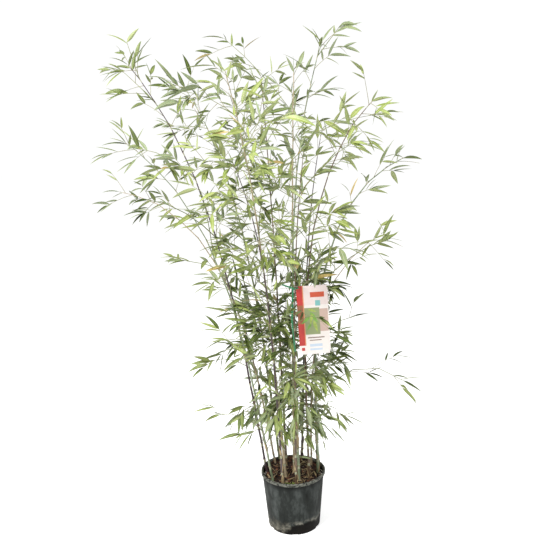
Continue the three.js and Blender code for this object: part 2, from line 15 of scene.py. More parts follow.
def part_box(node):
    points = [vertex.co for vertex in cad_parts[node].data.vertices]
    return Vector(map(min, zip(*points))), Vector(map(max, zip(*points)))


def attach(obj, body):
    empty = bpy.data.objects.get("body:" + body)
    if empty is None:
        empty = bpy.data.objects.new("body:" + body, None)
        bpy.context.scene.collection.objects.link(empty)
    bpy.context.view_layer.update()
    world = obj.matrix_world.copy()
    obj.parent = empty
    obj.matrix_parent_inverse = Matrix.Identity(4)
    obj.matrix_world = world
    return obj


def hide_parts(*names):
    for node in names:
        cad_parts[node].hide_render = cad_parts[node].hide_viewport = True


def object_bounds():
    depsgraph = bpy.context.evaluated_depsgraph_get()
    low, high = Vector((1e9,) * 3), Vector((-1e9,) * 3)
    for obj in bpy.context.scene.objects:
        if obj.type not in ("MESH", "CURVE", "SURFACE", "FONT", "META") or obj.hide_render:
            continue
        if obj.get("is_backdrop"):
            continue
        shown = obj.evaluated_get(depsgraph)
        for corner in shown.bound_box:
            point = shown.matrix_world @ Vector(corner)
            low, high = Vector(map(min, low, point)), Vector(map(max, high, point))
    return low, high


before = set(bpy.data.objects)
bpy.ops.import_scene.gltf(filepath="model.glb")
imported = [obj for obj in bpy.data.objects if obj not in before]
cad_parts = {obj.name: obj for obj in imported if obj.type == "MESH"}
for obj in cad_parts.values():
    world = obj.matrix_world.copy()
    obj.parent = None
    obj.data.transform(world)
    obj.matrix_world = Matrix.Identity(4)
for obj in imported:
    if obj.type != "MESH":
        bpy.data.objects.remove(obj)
cad_low, cad_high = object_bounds()
print("model box in metres:", [round(v, 3) for v in (*cad_low, *cad_high)])

# %% [markdown]
# ## Units
# A grower thinks in millimetres, and Blender works in metres. Every length below is in
# millimetres, and `add_piece` turns them into metres at the last moment. A node's box comes
# from the frame, so it is turned the other way.

# %% Millimetres
MM = 0.001


def box_mm(node):
    """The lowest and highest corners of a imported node, in millimetres."""
    low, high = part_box(node)
    return Vector(low) / MM, Vector(high) / MM


pot_high = box_mm("pot")[1]
compost_high = box_mm("compost")[1]
card_low, card_high = box_mm("label_card")
tie_low, tie_high = box_mm("label_tie")
print("pot height:", round(pot_high.z, 1), "compost level:", round(compost_high.z, 1))

# %% [markdown]
# ## Adding a piece
# Every piece is one mesh from lists of points and faces. Long thin organic things look right
# with smooth shading that still breaks at real creases, so faces are smoothed and any edge
# sharper than an angle is marked sharp. Every piece rides on the one body, `root`.

# %% A function that adds a piece


def put_in_scene(name, data):
    thing = bpy.data.objects.new(name, data)
    bpy.context.scene.collection.objects.link(thing)
    return thing


def add_piece(name, points, faces, materials, face_materials=None, crease=35, uv=None):
    """Makes a mesh object from points in millimetres, and lets it ride on the plant."""
    mesh = bpy.data.meshes.new(name)
    mesh.from_pydata((np.asarray(points, dtype=float) * MM).tolist(), [], faces)
    for material in materials:
        mesh.materials.append(material)
    if face_materials is not None:
        mesh.polygons.foreach_set("material_index", face_materials)
    if uv is not None:
        corners = np.zeros(len(mesh.loops), dtype=np.int32)
        mesh.loops.foreach_get("vertex_index", corners)
        layer = mesh.uv_layers.new(name="blade")
        layer.data.foreach_set("uv", np.asarray(uv, dtype=np.float32)[corners].ravel())
    mesh.polygons.foreach_set("use_smooth", [True] * len(mesh.polygons))
    mesh.set_sharp_from_angle(angle=math.radians(crease))
    mesh.validate()
    piece = put_in_scene(name, mesh)
    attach(piece, "root")
    triangles = sum(len(face) - 2 for face in faces)
    print(f"{name}: {len(points)} points, {triangles} triangles")
    return piece


class Shape:
    """Points and faces that are gathered before they become a piece."""

    def __init__(self):
        self.points = []
        self.faces = []
        self.face_materials = []

    def add(self, points, faces, material=0):
        start = len(self.points)
        self.points += [tuple(point) for point in points]
        self.faces += [tuple(start + i for i in face) for face in faces]
        self.face_materials += [material] * len(faces)

    def piece(self, name, *materials, crease=35):
        return add_piece(name, self.points, self.faces, materials, self.face_materials, crease)


# %% [markdown]
# ## Materials
# All the finishes start from Blender's Principled shader. Colours are written as sRGB hex, as
# a paint chart would, and one function turns them to the linear values that the shader works
# in. One small function adds a node with its settings and links, so that a material reads as
# a list of what feeds what.

# %% Colour and node helpers


def linear(hex_colour):
    """An sRGB hex colour as linear red, green, blue and alpha."""
    channels = [int(hex_colour[i:i + 2], 16) / 255 for i in (1, 3, 5)]
    return [c / 12.92 if c <= 0.04045 else ((c + 0.055) / 1.055) ** 2.4 for c in channels] + [1]


def add_node(tree, kind, settings=None, links=None, stops=None):
    """Adds a node. A key is a socket's name or number, or else one of the node's properties."""
    node = tree.nodes.new(kind)
    for key, value in (settings or {}).items():
        if isinstance(key, int) or key in node.inputs:
            node.inputs[key].default_value = value
        else:
            setattr(node, key, value)
    for key, source in (links or {}).items():
        tree.links.new(source, node.inputs[key])
    for i, (place, colour) in enumerate(stops or []):
        ramp = node.color_ramp
        stop = ramp.elements[i] if i < len(ramp.elements) else ramp.elements.new(place)
        stop.position = place
        stop.color = linear(colour)
    return node


def new_material(name, roughness, ior, **sockets):
    """A Principled material with the numbers that stay the same all over it."""
    material = bpy.data.materials.new(name)
    material.use_nodes = True
    shader = material.node_tree.nodes["Principled BSDF"]
    shader.inputs["Roughness"].default_value = roughness
    shader.inputs["IOR"].default_value = ior
    for socket, value in sockets.items():
        shader.inputs[socket.replace("_", " ")].default_value = value
    return material, material.node_tree, shader


# %% [markdown]
# The finishes need the same few steps again and again: where a point is, noise with a grain of
# a real size, one stretch of values turned into another, a sum, a layer of colour over another,
# and a relief. Each step is a function that gives back the socket to go on from.

# %% Steps that the finishes share


def object_place(tree, stretch=None):
    """Where a point is on the piece, in metres, or stretched along the axes."""
    place = add_node(tree, "ShaderNodeTexCoord").outputs["Object"]
    if stretch is None:
        return place
    return add_node(tree, "ShaderNodeMapping", {"Scale": stretch}, {"Vector": place}).outputs["Vector"]


def noisy(tree, place, grain, **settings):
    """Noise with a grain of a real size, given in millimetres."""
    settings = {"Scale": 1 / (grain * MM), **settings}
    return add_node(tree, "ShaderNodeTexNoise", settings, {"Vector": place}).outputs["Fac"]


def colour_ramp(tree, share, stops):
    return add_node(tree, "ShaderNodeValToRGB", links={"Fac": share}, stops=stops).outputs["Color"]


def rescaled(tree, value, source, target):
    """A value whose run between two ends is turned into a run between two others."""
    settings = dict(zip(("From Min", "From Max", "To Min", "To Max"), (*source, *target)))
    return add_node(tree, "ShaderNodeMapRange", settings, {"Value": value}).outputs["Result"]


def maths(tree, operation, first, second=None):
    """A sum with one socket, and with another socket or a plain number."""
    node = add_node(tree, "ShaderNodeMath", {"operation": operation}, {0: first})
    if isinstance(second, (int, float)):
        node.inputs[1].default_value = second
    elif second is not None:
        tree.links.new(second, node.inputs[1])
    return node.outputs["Value"]


def layered(tree, under, colour, share):
    """A colour laid over another by a share."""
    settings = {"data_type": "RGBA", 7: linear(colour)}
    return add_node(tree, "ShaderNodeMix", settings, {0: share, 6: under}).outputs[2]


def finish_with(tree, shader, colour, height, strength, depth):
    """Links a colour to the shader, and a relief of a depth in millimetres."""
    settings = {"Strength": strength, "Distance": depth * MM}
    relief = add_node(tree, "ShaderNodeBump", settings, {"Height": height})
    tree.links.new(colour, shader.inputs["Base Color"])
    tree.links.new(relief.outputs["Normal"], shader.inputs["Normal"])


# %% [markdown]
# A surface is rarely one colour. `mottled` is the plain recipe that most of the plant's
# finishes share: soft noise in object space picks between a few colours, and the same noise,
# finer, lifts a shallow bump.

# %% A mottled surface


def mottled(name, colours, grain, roughness, ior=1.5, bump=0.2, stretch=(1, 1, 1), **sockets):
    """A material whose colours drift over patches of a real size, given in millimetres."""
    material, tree, shader = new_material(name, roughness, ior, **sockets)
    place = object_place(tree, stretch)
    patches = noisy(tree, place, grain, Detail=4.0, Roughness=0.6)
    stops = list(zip(np.linspace(0.3, 0.7, len(colours)), colours))
    fine = noisy(tree, place, grain / 6, Detail=3.0)
    finish_with(tree, shader, colour_ramp(tree, patches, stops), fine, bump, 0.4)
    return material


# %% [markdown]
# ## How the plant grows
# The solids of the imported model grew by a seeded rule, and the foliage here follows the same
# one, so that its limbs land on the same lines. A hash of whole-number keys stands in for a
# random number: it gives the same plant on every run.

# %% Seeded chance and directions
UP = Vector((0, 0, 1))
GOLDEN_ANGLE = 137.5


def chance(*keys):
    """A number from 0 to 1 worked out from whole-number keys."""
    value = 0x811C9DC5
    for key in keys:
        value = ((value ^ key) * 0x01000193) & 0xFFFFFFFF
        value ^= value >> 15
        value = (value * 0x2C1B3C6D) & 0xFFFFFFFF
        value ^= value >> 12
    return value / 0x100000000


def between(low, high, *keys):
    return low + (high - low) * chance(*keys)


def lerp(start, end, share):
    return start + (end - start) * share


def clamp(value, low=0.0, high=1.0):
    return max(low, min(high, value))


def compass(bearing, tilt):
    """The direction that leans from upright by a tilt, towards a compass bearing."""
    flat = math.sin(math.radians(tilt))
    turn = math.radians(bearing)
    return Vector((flat * math.cos(turn), flat * math.sin(turn), math.cos(math.radians(tilt))))


def sideways(direction, angle):
    """A unit vector square to a direction, turned round it by an angle."""
    helper = UP if abs(direction.z) < 0.95 else Vector((1, 0, 0))
    side = direction.cross(helper).normalized()
    side.rotate(Quaternion(direction, math.radians(angle)))
    return side


def square_to(vector, along):
    """The unit vector nearest to a vector that is square to a direction."""
    return (vector - along * vector.dot(along)).normalized()


def leaving(direction, side, angle):
    """The direction that leaves another by an angle, towards a side."""
    turn = math.radians(angle)
    return (direction * math.cos(turn) + side * math.sin(turn)).normalized()


def sagging(direction, amount):
    return (direction - UP * amount).normalized()


def along_line(points, share):
    """The point at a share of a line, and the direction there."""
    place = min(share, 0.999) * (len(points) - 1)
    i = int(place)
    heading = points[i + 1] - points[i]
    return points[i] + heading * (place - i), heading.normalized()


# %% [markdown]
# ## The culms
# A culm is a hollow grass stem that is solid only at its nodes. It rises almost straight and
# nods over near its tip under the weight of its leaves. Each line of the table is one culm:
# where its foot stands, where its tip hangs, its tilt at the foot, its foot's radius, and its
# side sprays. How far it must nod over, and how long it is, follow from those places.

# %% The clump
CULMS = [
    # foot, tip, tilt, radius, sprays as (share, bearing, times as long)
    ((-97, 22), (-500, -60, 1680), 8, 4.6, [(0.64, -120, 1), (0.76, 130, 1)]),
    ((-76, -35), (-500, -190, 1430), 9, 4.2, [(0.2, 160, 1)]),
    ((-62, 60), (-600, 120, 1260), 9, 4.2, [(0.36, -150, 1), (0.66, -50, 1)]),
    ((-46, 85), (-370, 300, 1640), 7, 5.0, [(0.28, 110, 1), (0.48, 60, 1), (0.62, 160, 1), (0.74, 60, 1)]),
    ((-27, -12), (-180, -160, 1640), 5, 5.2, [(0.4, -150, 1), (0.68, -80, 1)]),
    ((-22, 45), (-70, 140, 1650), 3, 4.8, [(0.26, 60, 1), (0.42, 150, 1), (0.62, 70, 1), (0.74, -60, 1)]),
    ((4, 10), (40, 0, 1660), 1, 5.4, [(0.34, 0, 1), (0.52, -60, 1)]),
    ((21, -40), (130, -90, 1730), -1, 5.0, [(0.18, -40, 1), (0.7, 20, 1)]),
    ((59, -20), (270, -220, 1530), -1, 4.6, [(0.42, 20, 1)]),
    ((95, 10), (430, 120, 1350), -1, 6.0, [(0.28, -12, 2.1), (0.6, -50, 1)]),
    ((71, 50), (310, -20, 1080), 1, 4.0, []),
    ((37, 85), (170, 420, 1470), 6, 4.4, [(0.36, 40, 1), (0.6, 120, 1)]),
    ((-39, -80), (-150, -400, 1360), 6, 4.4, [(0.22, -130, 1), (0.6, -170, 1)]),
    ((8, -78), (50, -340, 1390), 5, 4.2, [(0.28, -90, 1), (0.74, -60, 1)]),
]
print(len(CULMS), "culms and", sum(len(line[4]) for line in CULMS), "side sprays in the table")

# %% [markdown]
# A culm grows internode by internode: short ones at the foot, the longest in the middle, and
# shorter ones again towards the tip. How much it nods over is found by halving, until the
# culm's heading, averaged from foot to tip, points from the one place to the other.

# %% From foot to tip
GAP = 0.3  # between a culm's foot and the compost
LIMB_SHARE = 0.8  # of a culm's length; its tip spray grows on from there
INTERNODES = (60, 115, 80)  # at the foot, in the middle and at the tip
KINK = 1.2  # degrees, to one side and the other in turn
SWAY = 4  # degrees, of its bearing
TAPER = 0.74  # share of the radius lost from foot to tip
NOD_POWER = 3  # a culm nods mostly near its tip
MOST_NOD = 120  # degrees
BEND_STEPS = 40  # halvings that find the nod
BEND_SAMPLES = 48  # places along a culm where its tilt is read


def mean_heading(tilt, nod):
    """The mean heading of a culm that nods over by some degrees: across the ground, and up."""
    shares = (np.arange(BEND_SAMPLES) + 0.5) / BEND_SAMPLES
    leans = np.radians(tilt + nod * shares ** NOD_POWER)
    return float(np.sin(leans).mean()), float(np.cos(leans).mean())


def bend(foot, tip, tilt):
    """The bearing, nod and length that carry a culm from its foot to its tip."""
    ground = math.hypot(tip[0] - foot[0], tip[1] - foot[1])
    rise = tip[2] - compost_high.z
    lean = math.degrees(math.atan2(tip[1] - foot[1], tip[0] - foot[0]))
    least, most = 0.0, MOST_NOD
    for _ in range(BEND_STEPS):
        middle = (least + most) / 2
        across, up = mean_heading(tilt, middle)
        if across * rise < up * ground:
            least = middle
        else:
            most = middle
    return lean, least, math.hypot(ground, rise) / math.hypot(*mean_heading(tilt, least))


def culm_nodes(foot, tip, tilt, index):
    """The nodes of a culm as pairs of a place and a share of its length."""
    lean, nod, length = bend(foot, tip, tilt)
    low, high, top = INTERNODES
    nodes = [(Vector((*foot, compost_high.z + GAP)), 0.0)]
    while nodes[-1][1] < 1:
        at, share = nodes[-1]
        # longer over the first third of the culm, and shorter again over its upper half
        internode = lerp(lerp(low, high, min(1, share * 3)), top, max(0, share * 2 - 1))
        reached = min(1, share + internode / length)
        kink = KINK if len(nodes) % 2 else -KINK
        bearing = lean + between(-SWAY, SWAY, index, len(nodes))
        heading = compass(bearing, tilt + nod * ((share + reached) / 2) ** NOD_POWER + kink)
        nodes.append((at + heading * (reached - share) * length, reached))
    return nodes


class Culm:
    def __init__(self, index, foot, tip, tilt, radius, sprays):
        self.index = index
        self.foot_radius = radius
        self.sprays = sprays
        self.nodes = culm_nodes(foot, tip, tilt, index)
        self.limb = [node for node in self.nodes if node[1] <= LIMB_SHARE]

    def radius(self, share):
        return self.foot_radius * (1 - TAPER * share)

    def internode(self, at):
        """Where an internode starts, and its heading."""
        start = self.nodes[at][0]
        return start, (self.nodes[at + 1][0] - start).normalized()


culms = [Culm(index, *line) for index, line in enumerate(CULMS)]
heights = [culm.nodes[-1][0].z for culm in culms]
print(len(culms), "culms, tips", round(min(heights)), "to", round(max(heights)), "mm up")

# %% [markdown]
# ## Keeping clear
# Twigs and leaves keep clear of the culms, the label and the pot, though not of each other. The
# shortest distance between two straight pieces decides it, worked out against every culm at
# once with NumPy.

# %% Distances
LABEL_TURN = -2.2  # degrees that the card hangs out of upright
LABEL_SIZE = Vector((104, 0.8, 236))
label_middle = (card_low + card_high) / 2
label_inverse = Matrix.Rotation(math.radians(-LABEL_TURN), 3, "Y")
label_turn = label_inverse.inverted()
LABEL_STEPS = 8  # places along a straight piece that are tried against the card
LABEL_GAP = 4


def clipped(values):
    return np.clip(values, 0, 1)


def segment_gaps(start, end, starts, ends):
    """Shortest distances from one segment to each of many."""
    u = np.array(end - start)
    v = ends - starts
    w = np.array(start) - starts
    uu = u @ u
    uv = v @ u
    vv = (v * v).sum(1)
    cross = np.maximum(uu * vv - uv * uv, 1e-9)
    first = clipped((uv * (v * w).sum(1) - vv * (w @ u)) / cross)
    t = clipped((uv * first + (v * w).sum(1)) / vv)
    s = clipped((uv * t - w @ u) / uu)
    return np.linalg.norm(w + s[:, None] * u - t[:, None] * v, axis=1)


def line_gap(start, end, line):
    points = np.array(line)
    return segment_gaps(start, end, points[:-1], points[1:]).min()


def crosses_label(start, end, gap):
    """Whether a straight piece comes nearer than a gap to the hanging card."""
    half = LABEL_SIZE / 2 + Vector((gap, gap, gap))
    for step in range(LABEL_STEPS + 1):
        point = label_inverse @ (start.lerp(end, step / LABEL_STEPS) - label_middle)
        if all(abs(point[i]) < half[i] for i in range(3)):
            return True
    return False


culm_starts = np.array([a[0] for culm in culms for a in culm.nodes[:-1]])
culm_ends = np.array([b[0] for culm in culms for b in culm.nodes[1:]])
culm_girths = np.array([culm.radius(a[1]) for culm in culms for a in culm.nodes[:-1]])
reach_low = cad_low / MM
reach_high = cad_high / MM
LOWEST_LEAF = pot_high.z + 90
CLUMP_REACH = 100  # from the axis; leaves further out stay higher still
RISE_OUTWARD = 0.3  # how much higher for each millimetre further out


def in_reach(point):
    """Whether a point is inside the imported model's box, and well above the pot's rim."""
    inside = all(reach_low[i] <= point[i] <= reach_high[i] for i in range(3))
    outward = math.hypot(point.x, point.y) - CLUMP_REACH
    return inside and point.z > LOWEST_LEAF + RISE_OUTWARD * max(0, outward)


def is_free(start, end, half_width):
    """Whether a straight piece stays clear of the culms and the label."""
    gaps = segment_gaps(start, end, culm_starts, culm_ends) - culm_girths
    return gaps.min() > half_width and not crosses_label(start, end, LABEL_GAP)


# %% [markdown]
# ## Boughs
# At most nodes a culm sends out slim boughs. The longest ones, the side sprays of the model,
# are grown again by its rule: off the culm at an angle, then levelling out and drooping, and
# turned round the culm until they are clear of their neighbours. Between them come shorter
# boughs, which fill the crown from all sides.

# %% Stems of the sprays
STEM_ANGLE = (35, 49)
STEM_LENGTH = (190, 300)  # low and high on the culm
STEM_SAG = (1.0, 0.55)
STEM_SPREAD = (0.85, 1.15)  # times its length
BENDS = 4
CLEARANCE = 8  # kept from every other limb
STEM_LABEL_GAP = 12
TRIES = 13  # bearings tried, each further round than the last
TRY_TURN = 15
TIP_RADIUS = 1.2
SIDE_RADII = (2.0, 1.0)


# A bough: its kind (at a culm's tip, at its side, short or arching), the line that twigs grow
# from, its radii at both ends, a key for its seeded chances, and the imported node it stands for.
Spray = namedtuple("Spray", "kind line radii key node", defaults=[None])


def off_culm(along, bearing, angle):
    """The direction that leaves a culm by an angle, towards a bearing."""
    return leaving(along, square_to(compass(bearing, 90), along), angle)


def branch_line(start, direction, length, sag, bends=BENDS):
    points = [start.copy()]
    for i in range(bends):
        heading = sagging(direction, sag * i / bends)
        points.append(points[-1] + heading * length / bends)
    return points


def stem_is_clear(stem, own, sprays):
    for i in range(1, len(stem)):
        others = [culm for culm in culms if i > 1 or culm is not own]
        lines = [[node[0] for node in culm.limb] for culm in others]
        lines += [spray.line for spray in sprays]
        if min(line_gap(stem[i - 1], stem[i], line) for line in lines) < CLEARANCE:
            return False
        if crosses_label(stem[i - 1], stem[i], STEM_LABEL_GAP):
            return False
    return True


def side_stem(culm, share, bearing, stretch, sprays):
    below = max(i for i, node in enumerate(culm.limb) if node[1] <= share)
    at = min(below, len(culm.limb) - 2)
    foot, along = culm.internode(at)
    angle = between(*STEM_ANGLE, culm.index, at, 1)
    height = clamp(share * 3 - 0.9)  # low below a third of the culm, high above two thirds
    length = stretch * lerp(*STEM_LENGTH, height) * between(*STEM_SPREAD, culm.index, at, 2)
    sag = math.sqrt(stretch) * lerp(*STEM_SAG, height)
    for turn in range(TRIES):
        offset = TRY_TURN * math.ceil(turn / 2) * (1 if turn % 2 else -1)
        stem = branch_line(foot, off_culm(along, bearing + offset, angle), length, sag)
        if stem_is_clear(stem, culm, sprays):
            return stem
    raise RuntimeError(f"culm {culm.index + 1}: no clear bearing at {share}")


# %% [markdown]
# The tips go first and the side sprays follow, culm by culm, as in the model. So each stem is
# turned clear of the same neighbours as there.

# %% Sprays on the model's lines
sprays = []
for culm in culms:
    beyond = [node[0] for node in culm.nodes[len(culm.limb) - 1:]]
    name = f"foliage_{culm.index + 1:02d}_tip"
    radii = (culm.radius(LIMB_SHARE), TIP_RADIUS)
    sprays.append(Spray("tip", beyond, radii, len(sprays), name))
for culm in culms:
    for order, (share, bearing, stretch) in enumerate(culm.sprays):
        stem = side_stem(culm, share, bearing, stretch, sprays)
        name = f"foliage_{culm.index + 1:02d}_side_{order + 1}"
        sprays.append(Spray("side", stem, SIDE_RADII, len(sprays), name))
print(len(sprays), "sprays on the model's own lines")

# %% [markdown]
# Between the long sprays, the nodes send out short boughs. A golden angle between one and the
# next spreads them all round the culm, as leaves want light from every side. A clump is not
# evenly leafy: there are a few thickets, and a node sends out the more boughs the nearer it is
# to the middle of one. Boughs are shortest low down, where little light reaches them.

# %% Short boughs at the other nodes
THICKETS = [
    # middle across and up, how far it spreads each way, boughs at a node in its middle
    ((30, 520), (120, 200), 2.5),  # the hanging leaves low down
    ((-50, 800), (110, 110), 3.5),  # the skirt
    ((-90, 1150), (130, 200), 1.6),  # the heart of the crown
    ((-190, 1430), (160, 110), 2),  # its left shoulder
]
LOW_BOUGHS = (35, 90)  # shortest and longest, low down
HIGH_BOUGHS = (90, 200)
LOW, HIGH = 400, 1300
BOUGH_ANGLE = (34, 60)
BOUGH_SAG = (0.1, 0.9)
BOUGH_RADII = (1.3, 0.7)


def boughs_at(place):
    """How many short boughs a node at a place sends out."""
    wanted = 0
    for middle, spread, count in THICKETS:
        off = math.hypot((place.x - middle[0]) / spread[0], (place.z - middle[1]) / spread[1])
        wanted += count * math.exp(-off * off)
    return wanted


for culm in culms:
    for at in range(1, len(culm.nodes) - 1):
        foot, along = culm.internode(at)
        count = boughs_at(foot)
        high = clamp((foot.z - LOW) / (HIGH - LOW))
        shortest = lerp(LOW_BOUGHS[0], HIGH_BOUGHS[0], high)
        longest = lerp(LOW_BOUGHS[1], HIGH_BOUGHS[1], high)
        wanted = int(count) + (chance(culm.index, at, 20) < count % 1)
        for order in range(wanted):
            keys = (culm.index, at, order)
            bearing = (at + 2 * order) * GOLDEN_ANGLE + 90 * chance(*keys, 21)
            length = between(shortest, longest, *keys, 22)
            heading = off_culm(along, bearing, between(*BOUGH_ANGLE, *keys, 23))
            stem = branch_line(foot, heading, length, between(*BOUGH_SAG, *keys, 24))
            if in_reach(stem[-1]) and not crosses_label(stem[1], stem[-1], LABEL_GAP):
                key = 1000 + 200 * culm.index + 4 * at + order
                sprays.append(Spray("short", stem, BOUGH_RADII, key))

# %% [markdown]
# A few boughs arch out where the clump would else be bare: at its upper left corner, along its
# top, at its right and low at the front.

# %% Arching boughs
ARCH_RADII = (1.5, 0.8)
ARCHING = [
    # culm, node counted from the tip, bearing, angle off the culm, length, sag
    (7, 2, 180, 40, 330, 0.35),
    (8, 1, -60, 35, 130, 0.0),
    (14, 7, -50, 40, 150, 0.9),
    (1, 1, 0, 22, 120, 0.0),
    (1, 2, 180, 12, 150, 0.1),
    (8, 4, -10, 55, 260, 0.4),
]
for order, (number, back, bearing, angle, length, sag) in enumerate(ARCHING):
    culm = culms[number - 1]
    foot, along = culm.internode(-1 - back)
    stem = branch_line(foot, off_culm(along, bearing, angle), length, sag)
    sprays.append(Spray("arch", stem, ARCH_RADII, 5000 + order))
print(len(sprays), "boughs in all")

# %% [markdown]
# ## Twigs and leaves
# A bamboo twig ends in a fan of a few leaves, set left and right in turn and close together,
# while its lower part is bare. That gives the pairs and stars of narrow blades that make
# bamboo easy to tell.

# %% Twigs
TWIG_SPACING = {"tip": 50, "side": 90, "short": 36, "arch": 60}
TWIG_LENGTH = (40, 105)
TWIG_ANGLE = (34, 62)
TWIG_SAG = (-0.2, 0.3)
TWIG_SPAN = (0.24, 0.9)  # of a bough, between its first twig and its last
TWIG_RADII = (1.0, 0.55)
HALF_WIDTH = 1  # what twigs and leaves keep clear by
FAN = (0.6, 0.78, 0.92, 1.0)  # where leaves stand, as shares of a twig


def grow_twigs(spray, twigs, leaves):
    span = sum((b - a).length for a, b in zip(spray.line, spray.line[1:]))
    count = max(2, round(span / TWIG_SPACING[spray.kind]))
    for order in range(count):
        keys = (spray.key, order)
        share = lerp(*TWIG_SPAN, order / (count - 1))
        at, heading = along_line(spray.line, share)
        side = sideways(heading, order * GOLDEN_ANGLE + 360 * chance(spray.key, 4))
        direction = leaving(heading, side, between(*TWIG_ANGLE, *keys, 5))
        length = between(*TWIG_LENGTH, *keys, 6)
        line = branch_line(at, sagging(direction, between(*TWIG_SAG, *keys, 15)), length, 0.3, 3)
        if in_reach(line[-1]) and is_free(line[1], line[-1], HALF_WIDTH):
            twigs.append(line)
            grow_leaves(line, FAN, keys, spray, leaves)
    grow_leaves(spray.line[-2:], FAN, (spray.key, count), spray, leaves)


# %% [markdown]
# The leaf's stalk is too short to see, so the blade starts at the twig. Up in the light, and
# out at the edge, the blades are held out nearly level; in the shade within they hang. About a
# fifth have fallen, and a leaf that would touch a culm or the card is left out.

# %% Leaves on a twig
LEAF_LENGTH = (40, 84)
LEAF_WIDTH = (0.16, 0.215)  # share of its length
LEAF_ANGLE = (18, 56)
LAST_ANGLE = (0, 14)  # of the leaf at the very tip
LEAF_SWING = 40  # degrees round the twig, either way
LEAF_SAG = (-0.4, 0.5)
SHADE_SAG = 0.9  # more, deep in the shade
SHADE_TOP, SHADE_EDGE = 480, 200  # the height and the distance out where the shade starts to end
LIGHT_DEPTH = (250, 100)  # how much further up, and out, it is full light
LEAF_DROOP = (0.05, 0.6)
LEAF_ROLL = 62  # degrees, either way
STALK = 6
FALLEN = 0.22  # share of the leaves that are missing
UPPER_CROWN = 900
LARGE_SHARE, LARGE = 0.06, 1.35  # share of the leaves up there that are larger, and how much


def grow_leaves(line, places, keys, spray, leaves):
    for number, place in enumerate(places):
        key = (*keys, number)
        last = place == 1.0
        if chance(*key, 12) < FALLEN and not last:
            continue
        at, heading = along_line(line, place)
        hand = 90 if number % 2 else -90
        side = sideways(heading, hand + between(-LEAF_SWING, LEAF_SWING, *key, 7))
        angle = between(*(LAST_ANGLE if last else LEAF_ANGLE), *key, 8)
        above = (at.z - SHADE_TOP) / LIGHT_DEPTH[0]
        outside = (math.hypot(at.x, at.y) - SHADE_EDGE) / LIGHT_DEPTH[1]
        in_light = clamp(max(above, outside))
        sag = between(*LEAF_SAG, *key, 9) + lerp(SHADE_SAG, 0, in_light)
        direction = sagging(leaving(heading, side, angle), sag)
        direction.z *= lerp(1.0, 0.5, in_light)
        direction.normalize()
        length = between(*LEAF_LENGTH, *key, 10)
        if at.z > UPPER_CROWN and chance(*key, 16) < LARGE_SHARE:
            length *= LARGE
        droop = between(*LEAF_DROOP, *key, 14)
        tip = at + direction * length
        width = length * between(*LEAF_WIDTH, *key, 13)
        hanging_tip = tip - UP * droop * length * 0.4
        if not (in_reach(hanging_tip) and is_free(at + direction * STALK, tip, HALF_WIDTH)):
            continue
        face = sideways(direction, 90 + between(-LEAF_ROLL, LEAF_ROLL, *key, 11))
        if face.z < 0:
            face = -face
        leaves.append((at, direction, face, length, width, droop, spray, key))


twigs = []
leaves = []
for spray in sprays:
    grow_twigs(spray, twigs, leaves)
print(len(twigs), "twigs and", len(leaves), "leaves")

# %% [markdown]
# ## Leaf blades
# A blade is a thin lens, widest a third of the way along and drawn out to a fine point, with
# a shallow fold at its midrib. It arches over under its own weight. All the blades are worked
# out at once as NumPy arrays: a loop over thousands of leaves in Python would be slow. The
# upper and lower skins share the blade's edge, so each leaf is closed, and the lower skin can
# have its own paler, duller green.

# %% Blades as arrays
STATIONS = np.array([0.0, 0.05, 0.15, 0.3, 0.48, 0.66, 0.82, 0.93, 1.0])
OUTLINE = np.array([0.10, 0.28, 0.76, 1.0, 0.94, 0.72, 0.42, 0.17, 0.0])
FOLD = math.radians(14)
THICKNESS = 0.5  # thicker than life, so that the two skins stay apart


def unit(vectors):
    return vectors / np.linalg.norm(vectors, axis=-1, keepdims=True)


def blades(chosen):
    """Points along every blade: left edge, rib, right edge, and the rib of the lower skin."""
    columns = [np.array(column) for column in list(zip(*chosen))[:6]]
    root, heading, face = [column[:, None, :] for column in columns[:3]]
    length, width, droop = [column[:, None, None] for column in columns[3:]]
    steps = STATIONS[None, :, None]
    bent = unit(heading - np.array([0, 0, 1]) * droop * steps ** 1.5)
    widths = np.diff(STATIONS)[None, :, None]
    strides = (bent[:, 1:] + bent[:, :-1]) / 2 * widths * length
    rib = root + np.concatenate([np.zeros_like(root), np.cumsum(strides, axis=1)], axis=1)
    across = unit(np.cross(np.broadcast_to(face, bent.shape), bent))
    normal = np.cross(bent, across)
    outline = OUTLINE[None, :, None] * width / 2
    lift = normal * math.sin(FOLD) * outline
    left = rib - across * math.cos(FOLD) * outline + lift
    right = rib + across * math.cos(FOLD) * outline + lift
    under = rib - normal * THICKNESS * np.minimum(OUTLINE, 0.6)[None, :, None]
    return left, rib, right, under


def skin(columns, flip):
    """One skin of every blade as points, faces and coordinates across and along it."""
    count, rows = columns[0].shape[:2]
    points = np.stack(columns, axis=2).reshape(-1, 3)
    start = (np.arange(count) * rows * 3)[:, None, None]
    row = (np.arange(rows - 1) * 3)[None, :, None]
    column = np.arange(2)[None, None, :]
    a = start + row + column
    quads = np.stack([a, a + 1, a + 4, a + 3], axis=-1).reshape(-1, 4)
    if flip:
        quads = quads[:, ::-1]
    across, along = np.meshgrid([0, 0.5, 1], STATIONS)
    uv = np.tile(np.stack([across, along], axis=-1).reshape(-1, 2), (count, 1))
    return points, quads.tolist(), uv


def two_skins(chosen):
    left, rib, right, under = blades(chosen)
    return skin((left, rib, right), False), skin((left, under, right), True)


# %% [markdown]
# The finish of a living leaf is a waxy cuticle over a soft body: a broad satin sheen, light
# that glows through when it is behind, and fine parallel veins from stalk to tip. The veins
# run along the blade's own coordinates. A real vein is about a quarter of a millimetre from
# the next, too fine to show, so fourteen ribs stand for them across the blade.

# %% Leaf finish
RIBS = 14
MIDRIB = 0.045  # half its width, as a share of the blade's


